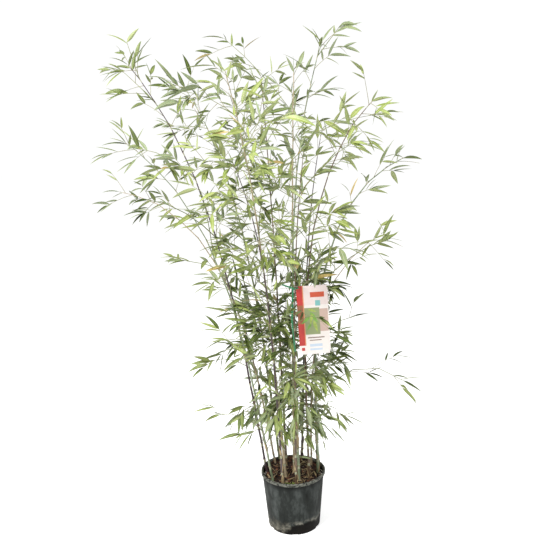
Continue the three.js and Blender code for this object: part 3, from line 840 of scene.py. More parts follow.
def leaf_material(name, dark, light, rib, roughness, glow):
    sockets = {"Subsurface_Weight": glow, "Subsurface_Scale": 1.5 * MM}
    material, tree, shader = new_material(name, roughness, 1.42, **sockets)
    drift = noisy(tree, object_place(tree), 55, Detail=2.0)
    body = colour_ramp(tree, drift, [(0.36, dark), (0.64, light)])
    blade = add_node(tree, "ShaderNodeUVMap", {"uv_map": "blade"}).outputs["UV"]
    across = add_node(tree, "ShaderNodeSeparateXYZ", links={"Vector": blade}).outputs["X"]
    wave = maths(tree, "SINE", maths(tree, "MULTIPLY", across, RIBS * 2 * math.pi))
    off_rib = maths(tree, "ABSOLUTE", maths(tree, "SUBTRACT", across, 0.5))
    colour = layered(tree, body, rib, maths(tree, "LESS_THAN", off_rib, MIDRIB))
    finish_with(tree, shader, colour, wave, 0.25, 0.1)
    return material


# %% [markdown]
# Leaves on one bough are of one age, so a tint is dealt to each bough, and only a few of its
# leaves stray from it. The tints run from fresh yellow-green, through olive and grey-green, to
# the dark green of old shaded leaves, with a few straw-coloured ones that are about to fall. In
# the dense skirt the dark tint is dealt most, as painted shade over the old leaves' own colour.

# %% Leaf tints
TINTS = {
    # name: dark, light and rib colours of the upper skin, then dark and light of the lower one
    "fresh": ("#78883c", "#98a362", "#b3ba7d", "#919c66", "#a3ad7c"),
    "olive": ("#5e6c32", "#818d52", "#a2ab6a", "#7a8755", "#8e9a68"),
    "grey": ("#6a754f", "#89946d", "#a7af89", "#86926d", "#99a480"),
    "deep": ("#2d3c0e", "#47571d", "#7b8a46", "#5c693a", "#717e4e"),
    "straw": ("#a8914f", "#c2ad70", "#d0c290", "#ac9c68", "#bfae84"),
}
IN_LIGHT = ("olive", "fresh", "grey", "olive", "fresh", "grey", "deep", "fresh")
# In the skirt the dark tint is dealt most: painted shade there, over the darker green of old leaves
SKIRT_TINTS_WITH_PAINTED_SHADE = ("olive", "deep", "deep", "olive", "deep", "fresh", "deep", "grey")
LOW_DOWN = ("olive", "grey", "grey", "olive", "fresh", "grey", "deep", "olive")
SKIRT = 640  # the height where it starts
STRAY = 0.3  # share of the leaves with a tint of their own
STRAW, STRAW_ABOVE = 0.01, 700
LEAF_CREASE = 22


def tint_of(spray, key):
    """The tint that a leaf gets: mostly its bough's, and darkest in the dense skirt, where the dark tint
    is painted shade.
    """
    height = spray.line[0].z
    dealt_here = IN_LIGHT if height > UPPER_CROWN else SKIRT_TINTS_WITH_PAINTED_SHADE if height > SKIRT else LOW_DOWN
    if height > STRAW_ABOVE and chance(*key, 30) < STRAW:
        return "straw"
    pick = chance(*key, 32) if chance(*key, 31) < STRAY else chance(spray.key, 33)
    return dealt_here[int(pick * len(dealt_here))]


dealt = {tint: [] for tint in TINTS}
for leaf in leaves:
    dealt[tint_of(*leaf[6:])].append(leaf)

foliage_nodes = [spray.node for spray in sprays if spray.node]
for tint, chosen in dealt.items():
    dark, light, rib, under_dark, under_light = TINTS[tint]
    upper = leaf_material(f"leaf_{tint}_upper_skin", dark, light, rib, 0.46, 0.06)
    lower = leaf_material(f"leaf_{tint}_lower_skin", under_dark, under_light, rib, 0.6, 0.06)
    (points, faces, uv), (more, back, more_uv) = two_skins(chosen)
    top = add_piece(f"leaves_{tint}_upper", points, faces, [upper], crease=LEAF_CREASE, uv=uv)
    add_piece(f"leaves_{tint}_lower", more, back, [lower], crease=LEAF_CREASE, uv=more_uv)
    if tint == "olive":
        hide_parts(*foliage_nodes)

# %% [markdown]
# ## Round, tapering limbs
# Culms, boughs and twigs are all tubes along a line. Each ring of the tube is turned as little
# as possible from the ring before it, so the tube never twists, and both ends are closed.

# %% A tube along a line


def ring_frames(points):
    """At each point, two directions square to the line that don't twist along it."""
    frames = []
    guide = None
    for i in range(len(points)):
        before = points[max(0, i - 1)]
        after = points[min(len(points) - 1, i + 1)]
        along = (after - before).normalized()
        guide = sideways(along, 0) if guide is None else guide
        guide = square_to(guide, along)
        frames.append((guide, along.cross(guide)))
    return frames


def grid_faces(rows, columns, closed=False):
    """Faces between rows of points. Closed, the end of each row joins its start."""
    faces = []
    for row in range(rows - 1):
        for column in range(columns if closed else columns - 1):
            a = row * columns + column
            b = row * columns + (column + 1) % columns
            faces.append((a, b, b + columns, a + columns))
    return faces


def capped_faces(rows, steps):
    """Faces between closed rows of points, and one across each end."""
    last = (rows - 1) * steps
    ends = [tuple(reversed(range(steps))), tuple(range(last, last + steps))]
    return grid_faces(rows, steps, closed=True) + ends


def tube(points, radii, sides):
    """Points and faces of a closed tube."""
    rings = []
    for point, radius, (side, other) in zip(points, radii, ring_frames(points)):
        for corner in range(sides):
            angle = 2 * math.pi * corner / sides
            rings.append(point + (side * math.cos(angle) + other * math.sin(angle)) * radius)
    return rings, capped_faces(len(points), sides)


def tapering(points, start, end, sides):
    """A tube whose radius runs evenly from one end to the other."""
    return tube(points, [lerp(start, end, i / (len(points) - 1)) for i in range(len(points))], sides)


# %% [markdown]
# Young bamboo twigs are olive to grey-brown and slightly glossy. They are joined into one
# piece, and so are the boughs that carry them.

# %% Boughs and twigs
bough_bark = mottled("bough_green", ("#5d6640", "#7d8556", "#8f8a66"), 30, 0.5)
twig_bark = mottled("twig_olive", ("#6a6a4c", "#8a8a62", "#7a6a58"), 18, 0.55)

bough_shape = Shape()
for spray in sprays:
    if spray.kind != "tip":
        bough_shape.add(*tapering(spray.line, *spray.radii, 6))
bough_shape.piece("boughs", bough_bark)

twig_shape = Shape()
for line in twigs:
    twig_shape.add(*tapering(line, *TWIG_RADII, 5))
twig_shape.piece("twigs", twig_bark)

# %% [markdown]
# ## Culm relief
# A culm's surface is not a plain cone. Each node has two raised rings: a thin scar where the
# sheath was and a soft swelling above it. Just below it lies a band of white bloom, a waxy
# powder. So each internode is drawn with ten rings of its own, and the rings' faces carry
# three finishes: bare cane, scar and bloom.

# %% Rings of a culm
SIDES = 14
THINNEST = 0.9  # radius that a culm never goes under
BURIED = 4  # how deep the foot goes into the compost
RINGS = [
    # distance above the lower node (or, where negative, below the upper one), girth, finish
    (1.2, 1.20, 0),
    (3.2, 1.10, 0),
    (7.0, 0.97, 0),
    (16.0, 0.96, 0),
    (-15.0, 1.0, 0),
    (-13.5, 1.0, 2),
    (-5.0, 1.02, 2),
    (-3.6, 1.05, 1),
    (-2.2, 1.20, 1),
    (-1.0, 1.10, 0),
]


def culm_mesh(culm):
    points = []
    radii = []
    finishes = []
    for at_node, (low, low_share) in enumerate(culm.nodes[:-1]):
        high, high_share = culm.nodes[at_node + 1]
        span = (high - low).length
        along = culm.internode(at_node)[1]
        for distance, girth, finish in RINGS:
            at = distance if distance > 0 else span + distance
            if not 0 < at < span:
                continue
            share = lerp(low_share, high_share, at / span)
            points.append(low + along * at)
            radii.append(max(THINNEST, culm.radius(share)) * girth)
            finishes.append(finish)
    foot = culm.nodes[0][0] - UP * BURIED
    shape_points, faces = tube([foot] + points, [culm.foot_radius * 1.1] + radii, SIDES)
    ring_finish = [finishes[0]] + finishes[:-1] + [0]
    face_finish = [ring_finish[i] for i in range(len(points)) for _ in range(SIDES)] + [0, 0]
    return shape_points, faces, face_finish


# %% [markdown]
# A living cane has a hard, silica-rich skin like thin varnish over green, and fine grooves
# run its length. Old canes ripen to purple-black or straw. The grooves are noise drawn out
# eighteen times along the height, a few millimetres apart, coarser than life so they show.

# %% Culm finishes


def cane(name, colours, roughness):
    stretch = (9, 9, 0.5)
    return mottled(name, colours, 26, roughness, bump=0.25, stretch=stretch, Coat_Weight=0.2)


CULM_FINISHES = {
    "green": cane("cane_green", ("#55613a", "#6e7a4e", "#8a9268"), 0.38),
    "purple": cane("cane_purple_brown", ("#2b2025", "#3f3034", "#5a4846"), 0.34),
    "straw": cane("cane_straw", ("#83745a", "#9b8c70", "#b1a488"), 0.45),
    "grey": cane("cane_grey_green", ("#5f6a4e", "#768264", "#8f997e"), 0.42),
    "brown": cane("cane_ripe_brown", ("#3f3226", "#5f4c3a", "#7d6850"), 0.4),
}
CULM_TYPES = (
    "purple", "grey", "straw", "green", "straw", "brown", "straw", "grey",
    "brown", "grey", "straw", "purple", "purple", "brown",
)
scar = mottled("node_scar", ("#7a6a4c", "#a08d68"), 6, 0.7)
bloom = mottled("node_bloom", ("#86876f", "#a5a68c"), 8, 0.8)

for finish, material in CULM_FINISHES.items():
    shape = Shape()
    members = [culm for culm, kind in zip(culms, CULM_TYPES) if kind == finish]
    for culm in members:
        points, faces, kinds = culm_mesh(culm)
        shape.add(points, faces)
        shape.face_materials[-len(kinds):] = kinds
    piece = shape.piece(f"culms_{finish}", material, scar, bloom, crease=50)
    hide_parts(*[f"culm_{culm.index + 1:02d}" for culm in members])

# %% [markdown]
# ## Sheaths
# Every internode grew inside a sheath, a papery scale that wraps the cane and ends in a point.
# On the lower nodes some are still there, dry and straw-coloured, and half let go.

# %% Dry sheaths
SHEATH_WRAP = 290  # degrees round the cane at its foot
OPENING = 0.35  # share of the wrap that it has let go of at its tip


def sheath(base, along, radius, height, bearing, flare):
    """A partly unrolled tube, cut off slanting to a point."""
    side, other = ring_frames([base, base + along])[0]
    columns, rows = 9, 7
    points = []
    for row in range(rows):
        rise = row / (rows - 1)
        for column in range(columns):
            across = column / (columns - 1) - 0.5
            wrap = SHEATH_WRAP * (1 - OPENING * rise)
            angle = math.radians(bearing + across * wrap)
            out = radius + 0.5 + flare * rise ** 3
            up = height * rise * (1 - 1.3 * abs(across) ** 1.5 * rise)
            outward = side * math.cos(angle) + other * math.sin(angle)
            points.append(base + along * up + outward * out)
    return points, grid_faces(rows, columns)


sheath_shape = Shape()
for culm in culms:
    for at, (node, share) in enumerate(culm.nodes[:-1]):
        if share > 0.5 or chance(culm.index, at, 41) > 0.42 - share * 0.5:
            continue
        along = culm.internode(at)[1]
        keys = (culm.index, at)
        sheath_shape.add(*sheath(
            node + along * 1.5, along, culm.radius(share) * 1.08, between(30, 62, *keys, 42),
            between(0, 360, *keys, 43), between(0.3, 2.5, *keys, 44),
        ))
paper = mottled("dry_sheath", ("#7f6e50", "#9c8966", "#b3a27e"), 14, 0.75, stretch=(6, 6, 0.6))
sheaths = sheath_shape.piece("sheaths", paper)
thicken = sheaths.modifiers.new("paper", "SOLIDIFY")
thicken.thickness = 0.4 * MM

# %% [markdown]
# ## The pot
# A nursery pot is injection-moulded polypropylene: thin, soft, with a rolled lip for grip. The
# profile is turned round the axis as on a lathe, with enough steps for a smooth curve. Above
# the compost the soft rim is slightly out of round. The drainage slots in the bottom corner
# are cut by one Boolean, which is applied, so that the pot ends as a plain mesh.

# %% Pot wall
POT_STEPS = 144
WALL = 2.2
rim = 120
foot_radius = 97
wall_top = rim - 4
height = pot_high.z
level = compost_high.z
OUT_OF_ROUND = 1.2


def wall_radius(z):
    return lerp(foot_radius, wall_top, z / height)


def dent(radius, angle, z):
    """A radius with the dents of the soft rim in it."""
    wave = math.sin(3 * angle + 0.7) + 0.6 * math.sin(5 * angle + 2.1)
    crimp = 0.35 * math.sin(17 * angle) * math.sin(4 * angle + 1)
    return radius + (OUT_OF_ROUND * wave + crimp) * clamp((z - level) / (height - level))


def turned(profile, steps, shift=None):
    """Points and faces of a profile of (radius, z) turned round the Z axis."""
    points = []
    for radius, z in profile:
        for step in range(steps):
            angle = 2 * math.pi * step / steps
            r = shift(radius, angle, z) if shift and radius > 1 else radius
            points.append((r * math.cos(angle), r * math.sin(angle), z))
    return points, capped_faces(len(profile), steps)


wall_rows = [(wall_radius(z), z) for z in range(8, 200, 16)]
inner_rows = [(wall_radius(z) - WALL, z) for z in range(190, 10, -20)]
pot_profile = [
    (0.01, 0), (foot_radius - 6, 0), (foot_radius - 4, 0.4), (wall_radius(2) - 1.2, 1.6),
    (wall_radius(4), 4), *wall_rows, (wall_radius(201), 201), (wall_radius(202) + 1.5, 202),
    (rim - 1, 203), (rim, 205), (rim, 211), (rim - 0.6, 213.6), (rim - 2.2, height),
    (rim - 4.6, height), (wall_radius(213) - WALL, 213.2), (wall_radius(205) - WALL, 205),
    *inner_rows, (wall_radius(5) - WALL, 5), (wall_radius(3) - WALL - 2, 3), (0.01, 3),
]
points, faces = turned(pot_profile, POT_STEPS, dent)

slots = Shape()
SLOTS = 6
SLOT_REACH = Vector((6, 11, 7))  # of the cutter, in, along and up
BOX_CORNERS = [(x, y, z) for z in (-1, 1) for y in (-1, 1) for x in (-1, 1)]
BOX_FACES = [(0, 2, 3, 1), (4, 5, 7, 6), (0, 1, 5, 4), (2, 6, 7, 3), (0, 4, 6, 2), (1, 3, 7, 5)]
for slot in range(SLOTS):
    turn = Matrix.Rotation(2 * math.pi * (slot + 0.5) / SLOTS, 3, "Z")
    middle = Vector((foot_radius, 0, 0))
    slots.add([turn @ (middle + Vector(corner) * SLOT_REACH) for corner in BOX_CORNERS], BOX_FACES)

# %% [markdown]
# Carbon-black polypropylene is a deep neutral grey rather than black, and weathers paler. Its
# skin has a fine moulded grain. Potting soil dries on it as brown dust that gathers low on the
# wall, where water has left dark wet patches with a pale tide line round them. From just under
# the lip upwards the plastic is painted near-black, as painted shade with some grime, and the
# lip itself is scuffed pale over it.

# %% Pot finish
polypropylene, tree, shader = new_material(
    "charcoal_polypropylene", 0.5, 1.49, Specular_IOR_Level=0.08
)
place = object_place(tree)
axes = add_node(tree, "ShaderNodeSeparateXYZ", links={"Vector": place}).outputs


def height_share(low, high, target):
    """A value that runs between two others from one height of the pot to another."""
    return rescaled(tree, axes["Z"], (low * MM, high * MM), target)


weather = noisy(tree, object_place(tree, (1, 1, 0.4)), 46, Detail=6.0, Roughness=0.7)
colour = colour_ramp(tree, weather, [(0.3, "#161816"), (0.5, "#292c2a"), (0.7, "#494d4b")])

blotches = noisy(tree, place, 38, Detail=6.0, Roughness=0.7)
dusty = maths(tree, "MULTIPLY", height_share(120, 5, (0, 0.75)), blotches)
colour = layered(tree, colour, "#5b564a", rescaled(tree, dusty, (0.22, 0.38), (0, 0.8)))

splashes = noisy(tree, place, 42, noise_dimensions="4D", W=2.0, Detail=9.0, Roughness=0.75)
to_one_side = rescaled(tree, axes["X"], (-40 * MM, 40 * MM), (0.6, 1.4))
wet = maths(tree, "MULTIPLY", height_share(75, 15, (0, 1)), to_one_side)
wet = maths(tree, "MULTIPLY", wet, splashes)
tide_line = colour_ramp(tree, wet, [(0.14, "#000000"), (0.28, "#ffffff"), (0.35, "#000000")])
patchy = rescaled(tree, blotches, (0.42, 0.66), (0, 0.8))
colour = layered(tree, colour, "#9a978b", maths(tree, "MULTIPLY", tide_line, patchy))
colour = layered(tree, colour, "#080605", rescaled(tree, wet, (0.3, 0.38), (0, 0.95)))

# Painted shade under the lip, with some grime: near-black from 180 mm up, full from 200 mm, under the
# lip's pale scuffs
colour = layered(tree, colour, "#0b0b0a", height_share(180, 200, (0, 0.75)))
scuffs = maths(tree, "MULTIPLY", height_share(202, 204, (0, 1)), noisy(tree, place, 7, Detail=4.0))
colour = layered(tree, colour, "#74756c", rescaled(tree, scuffs, (0.36, 0.6), (0, 0.9)))
finish_with(tree, shader, colour, noisy(tree, place, 1.6, Detail=2.0), 0.3, 0.25)

pot = add_piece("nursery_pot", points, faces, [polypropylene], crease=40)
cutter = slots.piece("slot_cutter", polypropylene)
cut = pot.modifiers.new("slots", "BOOLEAN")
cut.object = cutter
cut.operation = "DIFFERENCE"
cut.solver = "EXACT"
shaped = bpy.data.meshes.new_from_object(pot.evaluated_get(bpy.context.evaluated_depsgraph_get()))
pot.modifiers.clear()
pot.data = shaped
bpy.data.objects.remove(cutter)
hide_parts("pot")
print("pot faces after cutting:", len(pot.data.polygons))

# %% [markdown]
# ## Potting compost
# Bark-based compost is a loose heap of crumbs, so its surface is a disc of small facets moved
# up and down by layered noise, heaped up towards the back and lower at the wall. The
# body under it is closed, so the compost is a solid plug like the one it stands for.

# %% Compost surface
COMPOST_STEPS = 120
COMPOST_RINGS = 34
compost_radius = compost_high.x - 0.2


def ground(x, y):
    """The height of the compost at a place."""
    away = math.hypot(x, y) / compost_radius
    lumps = noise.fractal(Vector((x, y, 0)) / 22, 0.8, 2.1, 4)
    crumbs = noise.noise(Vector((x, y, 50)) / 5)
    heap = 9 * math.exp(-((x + 32) ** 2 + (y - 60) ** 2) / (2 * 30 ** 2))
    bank = 25 * clamp((y + 35) / 130) ** 1.2
    at_wall = (7 - 6 * clamp(y / 60)) * max(0, away - 0.82) / 0.18
    return level - 2.5 + heap + bank + 3.4 * lumps + 1.4 * crumbs - at_wall


around = np.linspace(0, 2 * math.pi, COMPOST_STEPS, endpoint=False)
INSIDE_WALL = 3
PLUG = (4, 180)  # heights of the rings below the surface
points = [(0, 0, PLUG[0])]
for z in PLUG:
    away = wall_radius(z) - INSIDE_WALL
    points += [(away * math.cos(a), away * math.sin(a), z) for a in around]
for ring in range(COMPOST_RINGS):
    away = compost_radius * (1 - ring / COMPOST_RINGS)
    for a in around:
        x, y = away * math.cos(a), away * math.sin(a)
        points.append((x, y, ground(x, y)))
points.append((0, 0, ground(0, 0)))
rows = len(PLUG) + COMPOST_RINGS
last = 1 + (rows - 1) * COMPOST_STEPS
faces = [tuple(1 + i for i in face) for face in grid_faces(rows, COMPOST_STEPS, closed=True)]
for step in range(COMPOST_STEPS):
    after = (step + 1) % COMPOST_STEPS
    faces += [(0, 1 + after, 1 + step), (last + step, last + after, len(points) - 1)]
compost_finish = mottled(
    "bark_compost", ("#0a0604", "#1a0f09", "#2c1a10", "#46301f"), 7, 0.95, ior=1.4, bump=1.0
)
compost = add_piece("compost_surface", points, faces, [compost_finish], crease=60)
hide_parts("compost")

# %% [markdown]
# Chips of bark lie on it. Each is a flat block whose corners are knocked about by chance,
# tipped a little, and often half sunk. They are dealt out in three browns, and each brown is
# joined into a piece of its own.

# %% Bark chips
CHIPS = 620
FLATNESS = (0.12, 0.28)  # share of its length
TIPPED = 0.5  # radians, at most


def in_pot(*keys):
    """A seeded place on the compost."""
    away = (compost_radius - 7) * math.sqrt(chance(*keys, 1))
    angle = 2 * math.pi * chance(*keys, 2)
    return away * math.cos(angle), away * math.sin(angle)


def chip(keys, long):
    """An irregular flake as points."""
    x, y = in_pot(*keys)
    wide = long * between(0.35, 0.7, *keys, 3)
    size = Vector((long, wide, long * between(*FLATNESS, *keys, 4))) / 2
    tips = [between(-TIPPED, TIPPED, *keys, salt) for salt in (5, 6)]
    turn = Euler((*tips, 7 * chance(*keys, 7)))
    middle = Vector((x, y, ground(x, y) + size.z * between(0.2, 1.3, *keys, 8)))
    corners = []
    for i, corner in enumerate(BOX_CORNERS):
        knocked = Vector([c * s * between(0.55, 1.1, *keys, 10 + 3 * i + j)
                          for j, (c, s) in enumerate(zip(corner, size))])
        knocked.rotate(turn)
        corners.append(middle + knocked)
    return corners


CHIP_BROWNS = {
    "dark": ("#120a06", "#23140c", "#382215"),
    "brown": ("#3a2114", "#593520", "#7c5236"),
    "pale": ("#6b5540", "#917a62", "#b3a08a"),
}
chips = {brown: Shape() for brown in CHIP_BROWNS}
for number in range(CHIPS):
    pick = chance(number, 60)
    brown = "dark" if pick < 0.5 else "brown" if pick < 0.9 else "pale"
    chips[brown].add(chip((number, 61), between(4, 15, number, 62)), BOX_FACES)
for brown, shape in chips.items():
    colours = CHIP_BROWNS[brown]
    finish = mottled(f"bark_chip_{brown}", colours, 6, 0.9, ior=1.45, bump=0.8, stretch=(0.5, 2, 2))
    shape.piece(f"bark_chips_{brown}", finish, crease=25)

# %% [markdown]
# Straw-like fibres wind between the chips, each a thin tube that follows the ground.

# %% Fibres
fibre_shape = Shape()
for number in range(40):
    x, y = in_pot(number, 70)
    bearing = 360 * chance(number, 71)
    step = compass(bearing, 90) * between(6, 15, number, 72)
    curl = between(-25, 25, number, 73)
    line = [Vector((x, y, 0))]
    for i in range(4):
        step.rotate(Quaternion(UP, math.radians(curl)))
        line.append(line[-1] + step)
    line = [p for p in line if math.hypot(p.x, p.y) < compost_radius - 5]
    if len(line) < 3:
        continue
    rise = between(0, 4, number, 74)
    line = [Vector((p.x, p.y, ground(p.x, p.y) + 1.4 + rise * i / 2)) for i, p in enumerate(line)]
    fibre_shape.add(*tapering(line, between(0.5, 0.9, number, 75), 0.3, 5))
fibre_shape.piece("fibres", mottled("straw_fibre", ("#7b6948", "#9c8962", "#b8a681"), 10, 0.8))


# %% [markdown]
# A few dry leaves have dropped, and moss sprouts at the front. Both are drawn like the living
# leaves, but as one closed piece with a finish on each side.

# %% Dry leaves and moss


def lying_leaf(number, key, long, wide, stand):
    """A leaf on the compost, as `blades` wants it."""
    x, y = in_pot(number, key)
    turn = compass(360 * chance(number, key, 3), 90 - stand)
    lean = Vector((between(-0.4, 0.4, number, key, 4), between(-0.4, 0.4, number, key, 5), 1))
    foot = Vector((x, y, ground(x, y) + 2.5))
    return foot, turn, square_to(lean, turn), long, wide, 0.1


def inside_pot(leaf):
    tip = leaf[0] + leaf[1] * leaf[3]
    return math.hypot(tip.x, tip.y) < compost_radius - 4


def double_skin(name, chosen, upper, lower):
    """A closed piece of leaves that needs only one tint on each side."""
    (points, faces, uv), (more, back, more_uv) = two_skins(chosen)
    faces = faces + [[i + len(points) for i in face] for face in back]
    kinds = [0] * (len(faces) // 2) + [1] * (len(faces) // 2)
    add_piece(name, np.vstack([points, more]), faces, [upper, lower],
              face_materials=kinds, crease=LEAF_CREASE, uv=np.vstack([uv, more_uv]))


dry = [lying_leaf(n, 80, between(30, 60, n, 81), between(4, 8, n, 82), 3) for n in range(18)]
dry_upper = leaf_material("fallen_leaf", "#6b5a3e", "#948160", "#a89674", 0.7, 0.0)
dry_lower = leaf_material("fallen_leaf_back", "#7d6b4c", "#a08d6a", "#a89674", 0.75, 0.0)
double_skin("fallen_leaves", [leaf for leaf in dry if inside_pot(leaf)], dry_upper, dry_lower)

sprouts = []
for number in range(150):
    foot, turn, face, long, wide, droop = lying_leaf(
        number, 90, between(6, 13, number, 91), between(2, 4, number, 92), 45
    )
    patch = compass(-103 + between(-20, 20, number, 93), 90) * between(66, 106, number, 94)
    foot = Vector((patch.x, patch.y, ground(patch.x, patch.y) + 0.6))
    sprouts.append((foot, turn, face, long, wide, droop))
moss_upper = leaf_material("moss_leaf", "#4f5c22", "#6f7c34", "#87944a", 0.7, 0.0)
double_skin("moss_sprouts", sprouts, moss_upper, moss_upper)

# %% [markdown]
# White grains of perlite keep the compost airy. Some lie about, and most have gathered at the
# wall, to the left and to the right.

# %% Perlite
perlite_shape = Shape()
for number in range(44):
    perlite_shape.add(chip((number, 100), between(2, 4, number, 101)), BOX_FACES)
for number in range(90):
    bearing = 180 + between(-38, 38, number, 103) if number % 3 else between(-20, 20, number, 104)
    away = compost_radius - between(0, 9, number, 105)
    grit = chip((number, 106), between(3, 6, number, 107))
    place = compass(bearing, 90) * away + UP * (level - 4 + between(0, 13, number, 108))
    middle = sum(grit, Vector((0, 0, 0))) / len(grit)
    perlite_shape.add([corner - middle + place for corner in grit], BOX_FACES)
perlite_shape.piece("perlite", mottled("perlite_grit", ("#c9c4b8", "#ebe7dd"), 2, 0.9))

# %% [markdown]
# ## The label
# Plants are sold with a coated card on a plastic tie. The print is laid out as plain blocks:
# red bands down the left, an orange bar at the top, a pale panel and a sprig of green leaf
# shapes. Print has no thickness, but a colour with a place keeps it best as a face of its own,
# so the card is a grid whose lines fall on the blocks' edges, and each face takes its ink. A
# slow bend keeps the card from looking like a board.

# %% Card
CARD_BLOCKS = [
    # left, right, bottom, top as shares of the card; ink
    (0.19, 1.0, 0.72, 1.0, "rose"),
    (0.0, 0.19, 0.72, 1.0, "red"),
    (0.0, 0.19, 0.45, 0.72, "rust"),
    (0.0, 0.19, 0.13, 0.45, "red"),
    (0.19, 0.22, 0.13, 1.0, "amber"),
    (0.43, 0.88, 0.83, 0.905, "orange"),
    (0.58, 0.74, 0.705, 0.785, "teal"),
    (0.22, 0.70, 0.29, 0.68, "sage"),
    (0.70, 0.97, 0.33, 0.66, "blush"),
    (0.28, 0.82, 0.235, 0.252, "umber"),
    (0.34, 0.72, 0.198, 0.212, "umber"),
    (0.34, 0.74, 0.11, 0.15, "sky"),
    (0.34, 0.74, 0.055, 0.085, "sky"),
    (0.07, 0.17, 0.055, 0.1, "red"),
]
INKS = {
    "paper": "#d9d2cc", "rose": "#d3c4bf", "red": "#b0241b", "rust": "#8c5230", "amber": "#c8875c",
    "orange": "#b8431c", "teal": "#6fa9a6", "sage": "#848f62", "blush": "#b79d90",
    "umber": "#7c675b", "sky": "#b0bfce",
}
INK_NAMES = list(INKS)
ink_materials = []
for ink, colour in INKS.items():
    material, tree, shader = new_material(f"coated_card_{ink}", 0.4, 1.5)
    fibre = noisy(tree, object_place(tree), 3, Detail=3.0)
    toned = add_node(
        tree, "ShaderNodeHueSaturation", {"Color": linear(colour), "Saturation": 0.96},
        {"Value": rescaled(tree, fibre, (0, 1), (0.93, 1.03))},
    ).outputs["Color"]
    finish_with(tree, shader, toned, fibre, 0.15, 0.1)
    ink_materials.append(material)

# %% [markdown]
# Front and back are two sheets of faces a little apart. The cells at the four corners are left
# out, as the corners of such a card are rounded off.

# %% Card grid
HALF_CARD = 0.4  # half its thickness


def card_lines(edges, parts):
    """Grid lines at the blocks' edges, with others between so that the card can bend."""
    return sorted(set(round(float(e), 4) for e in [*edges, *np.linspace(0, 1, parts)]))


def card_point(across, up, out):
    """A point of the card, out in front of its middle sheet by a distance."""
    x = (across - 0.5) * LABEL_SIZE.x
    z = (up - 0.5) * LABEL_SIZE.z
    bend = 5 * (across - 0.5) ** 2 + 4 * (0.5 - up) * (across - 0.2)
    return label_turn @ Vector((x, bend - out, z)) + label_middle


def ink_at(across, up):
    """The ink at a place on the front, where a later block covers an earlier one."""
    ink = "paper"
    for left, right, bottom, top, name in CARD_BLOCKS:
        if left < across < right and bottom < up < top:
            ink = name
    return INK_NAMES.index(ink)


columns = card_lines([edge for block in CARD_BLOCKS for edge in block[:2]], 14)
rows = card_lines([edge for block in CARD_BLOCKS for edge in block[2:4]], 26)
wide = len(columns)
card = Shape()
for out in (HALF_CARD, -HALF_CARD):
    start = len(card.points)
    card.points += [card_point(across, up, out) for up in rows for across in columns]
    for row in range(len(rows) - 1):
        for column in range(wide - 1):
            if column in (0, wide - 2) and row in (0, len(rows) - 2):
                continue
            middle = sum(columns[column:column + 2]) / 2, sum(rows[row:row + 2]) / 2
            a = start + row * wide + column
            quad = (a, a + 1, a + wide + 1, a + wide)
            card.faces.append(quad if out > 0 else quad[::-1])
            card.face_materials.append(ink_at(*middle) if out > 0 else INK_NAMES.index("paper"))
label_card = card.piece("label_card_print", *ink_materials, crease=60)
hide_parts("label_card")

# %% [markdown]
# The sprig on the card is a few leaf outlines that lie 0.15 mm off its face.

# %% Printed sprig
SPRIG_LEAVES = [
    # across and up the card, length, turn in degrees
    (0.40, 0.62, 46, -58), (0.46, 0.60, 40, -100), (0.38, 0.55, 38, -140),
    (0.50, 0.50, 44, -75), (0.42, 0.46, 30, -120), (0.34, 0.66, 30, -20),
]
INK_LIFT = 0.55  # in front of the card's middle
sprig = Shape()
for number, (across, up, long, turn) in enumerate(SPRIG_LEAVES):
    outline = []
    angle = math.radians(turn)
    for side, ends in ((1, (0, 1)), (-1, (1, 0))):
        for share in np.linspace(*ends, 7)[:-1]:
            along, off = share * long, side * long * 0.13 * math.sin(math.pi * share ** 0.75)
            x = along * math.cos(angle) - off * math.sin(angle)
            z = along * math.sin(angle) + off * math.cos(angle)
            outline.append(card_point(across + x / LABEL_SIZE.x, up + z / LABEL_SIZE.z, INK_LIFT))
    sprig.add(outline, [tuple(range(len(outline)))], number % 2)
leaf_green = mottled("ink_leaf_green", ("#5d8a35", "#7aa548"), 8, 0.4)
leaf_olive = mottled("ink_leaf_olive", ("#7f9440", "#a4b45a"), 8, 0.4)
sprig.piece("label_sprig", leaf_green, leaf_olive)

# %% [markdown]
# The tie is a ribbed strip of green polyethylene: a loop round the culm and through the hole.
# One spare end sticks up to the left, and the long one hangs down along the card's edge.

# %% Tie
STRIP = 1.2  # radius of the strip where it loops round the culm
RIB_GAP = 1.7
tie_middle = (tie_low + tie_high) / 2
tie_radius = (tie_high.x - tie_low.x) / 2 - STRIP
loop = [
    tie_middle + Vector((math.cos(a), math.sin(a), 0)) * tie_radius
    for a in np.linspace(0, 2 * math.pi, 25)
]
tie_shape = Shape()
tie_shape.add(*tube(loop, [STRIP] * len(loop), 8))
knot = tie_middle + Vector((-tie_radius, -1.5, 0))
long_end = [
    knot + Vector((-3 - 0.7 * i + 1.6 * max(0, i - 9), 1.5 - 0.1 * i, -12 * i)) for i in range(19)
]
short_end = [knot + Vector((-5.5 * i, -0.4 * i, 2.2 * i)) for i in range(8)]
for end, across in ((long_end, Vector((1, 0, 0))), (short_end, Vector((0.3, 0, 1)))):
    for offset in (-RIB_GAP, 0, RIB_GAP):
        tie_shape.add(*tapering([p + across * offset for p in end], 1.0, 0.9, 6))
knot_line = [knot + Vector((0, 1, z)) for z in (4, 0, -4)]
tie_shape.add(*tube(knot_line, [2.0, 2.6, 2.0], 8))
polyethylene = mottled("green_polyethylene", ("#1d6440", "#318558"), 5, 0.35, ior=1.51)
tie = tie_shape.piece("label_tie_strip", polyethylene)
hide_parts("label_tie")

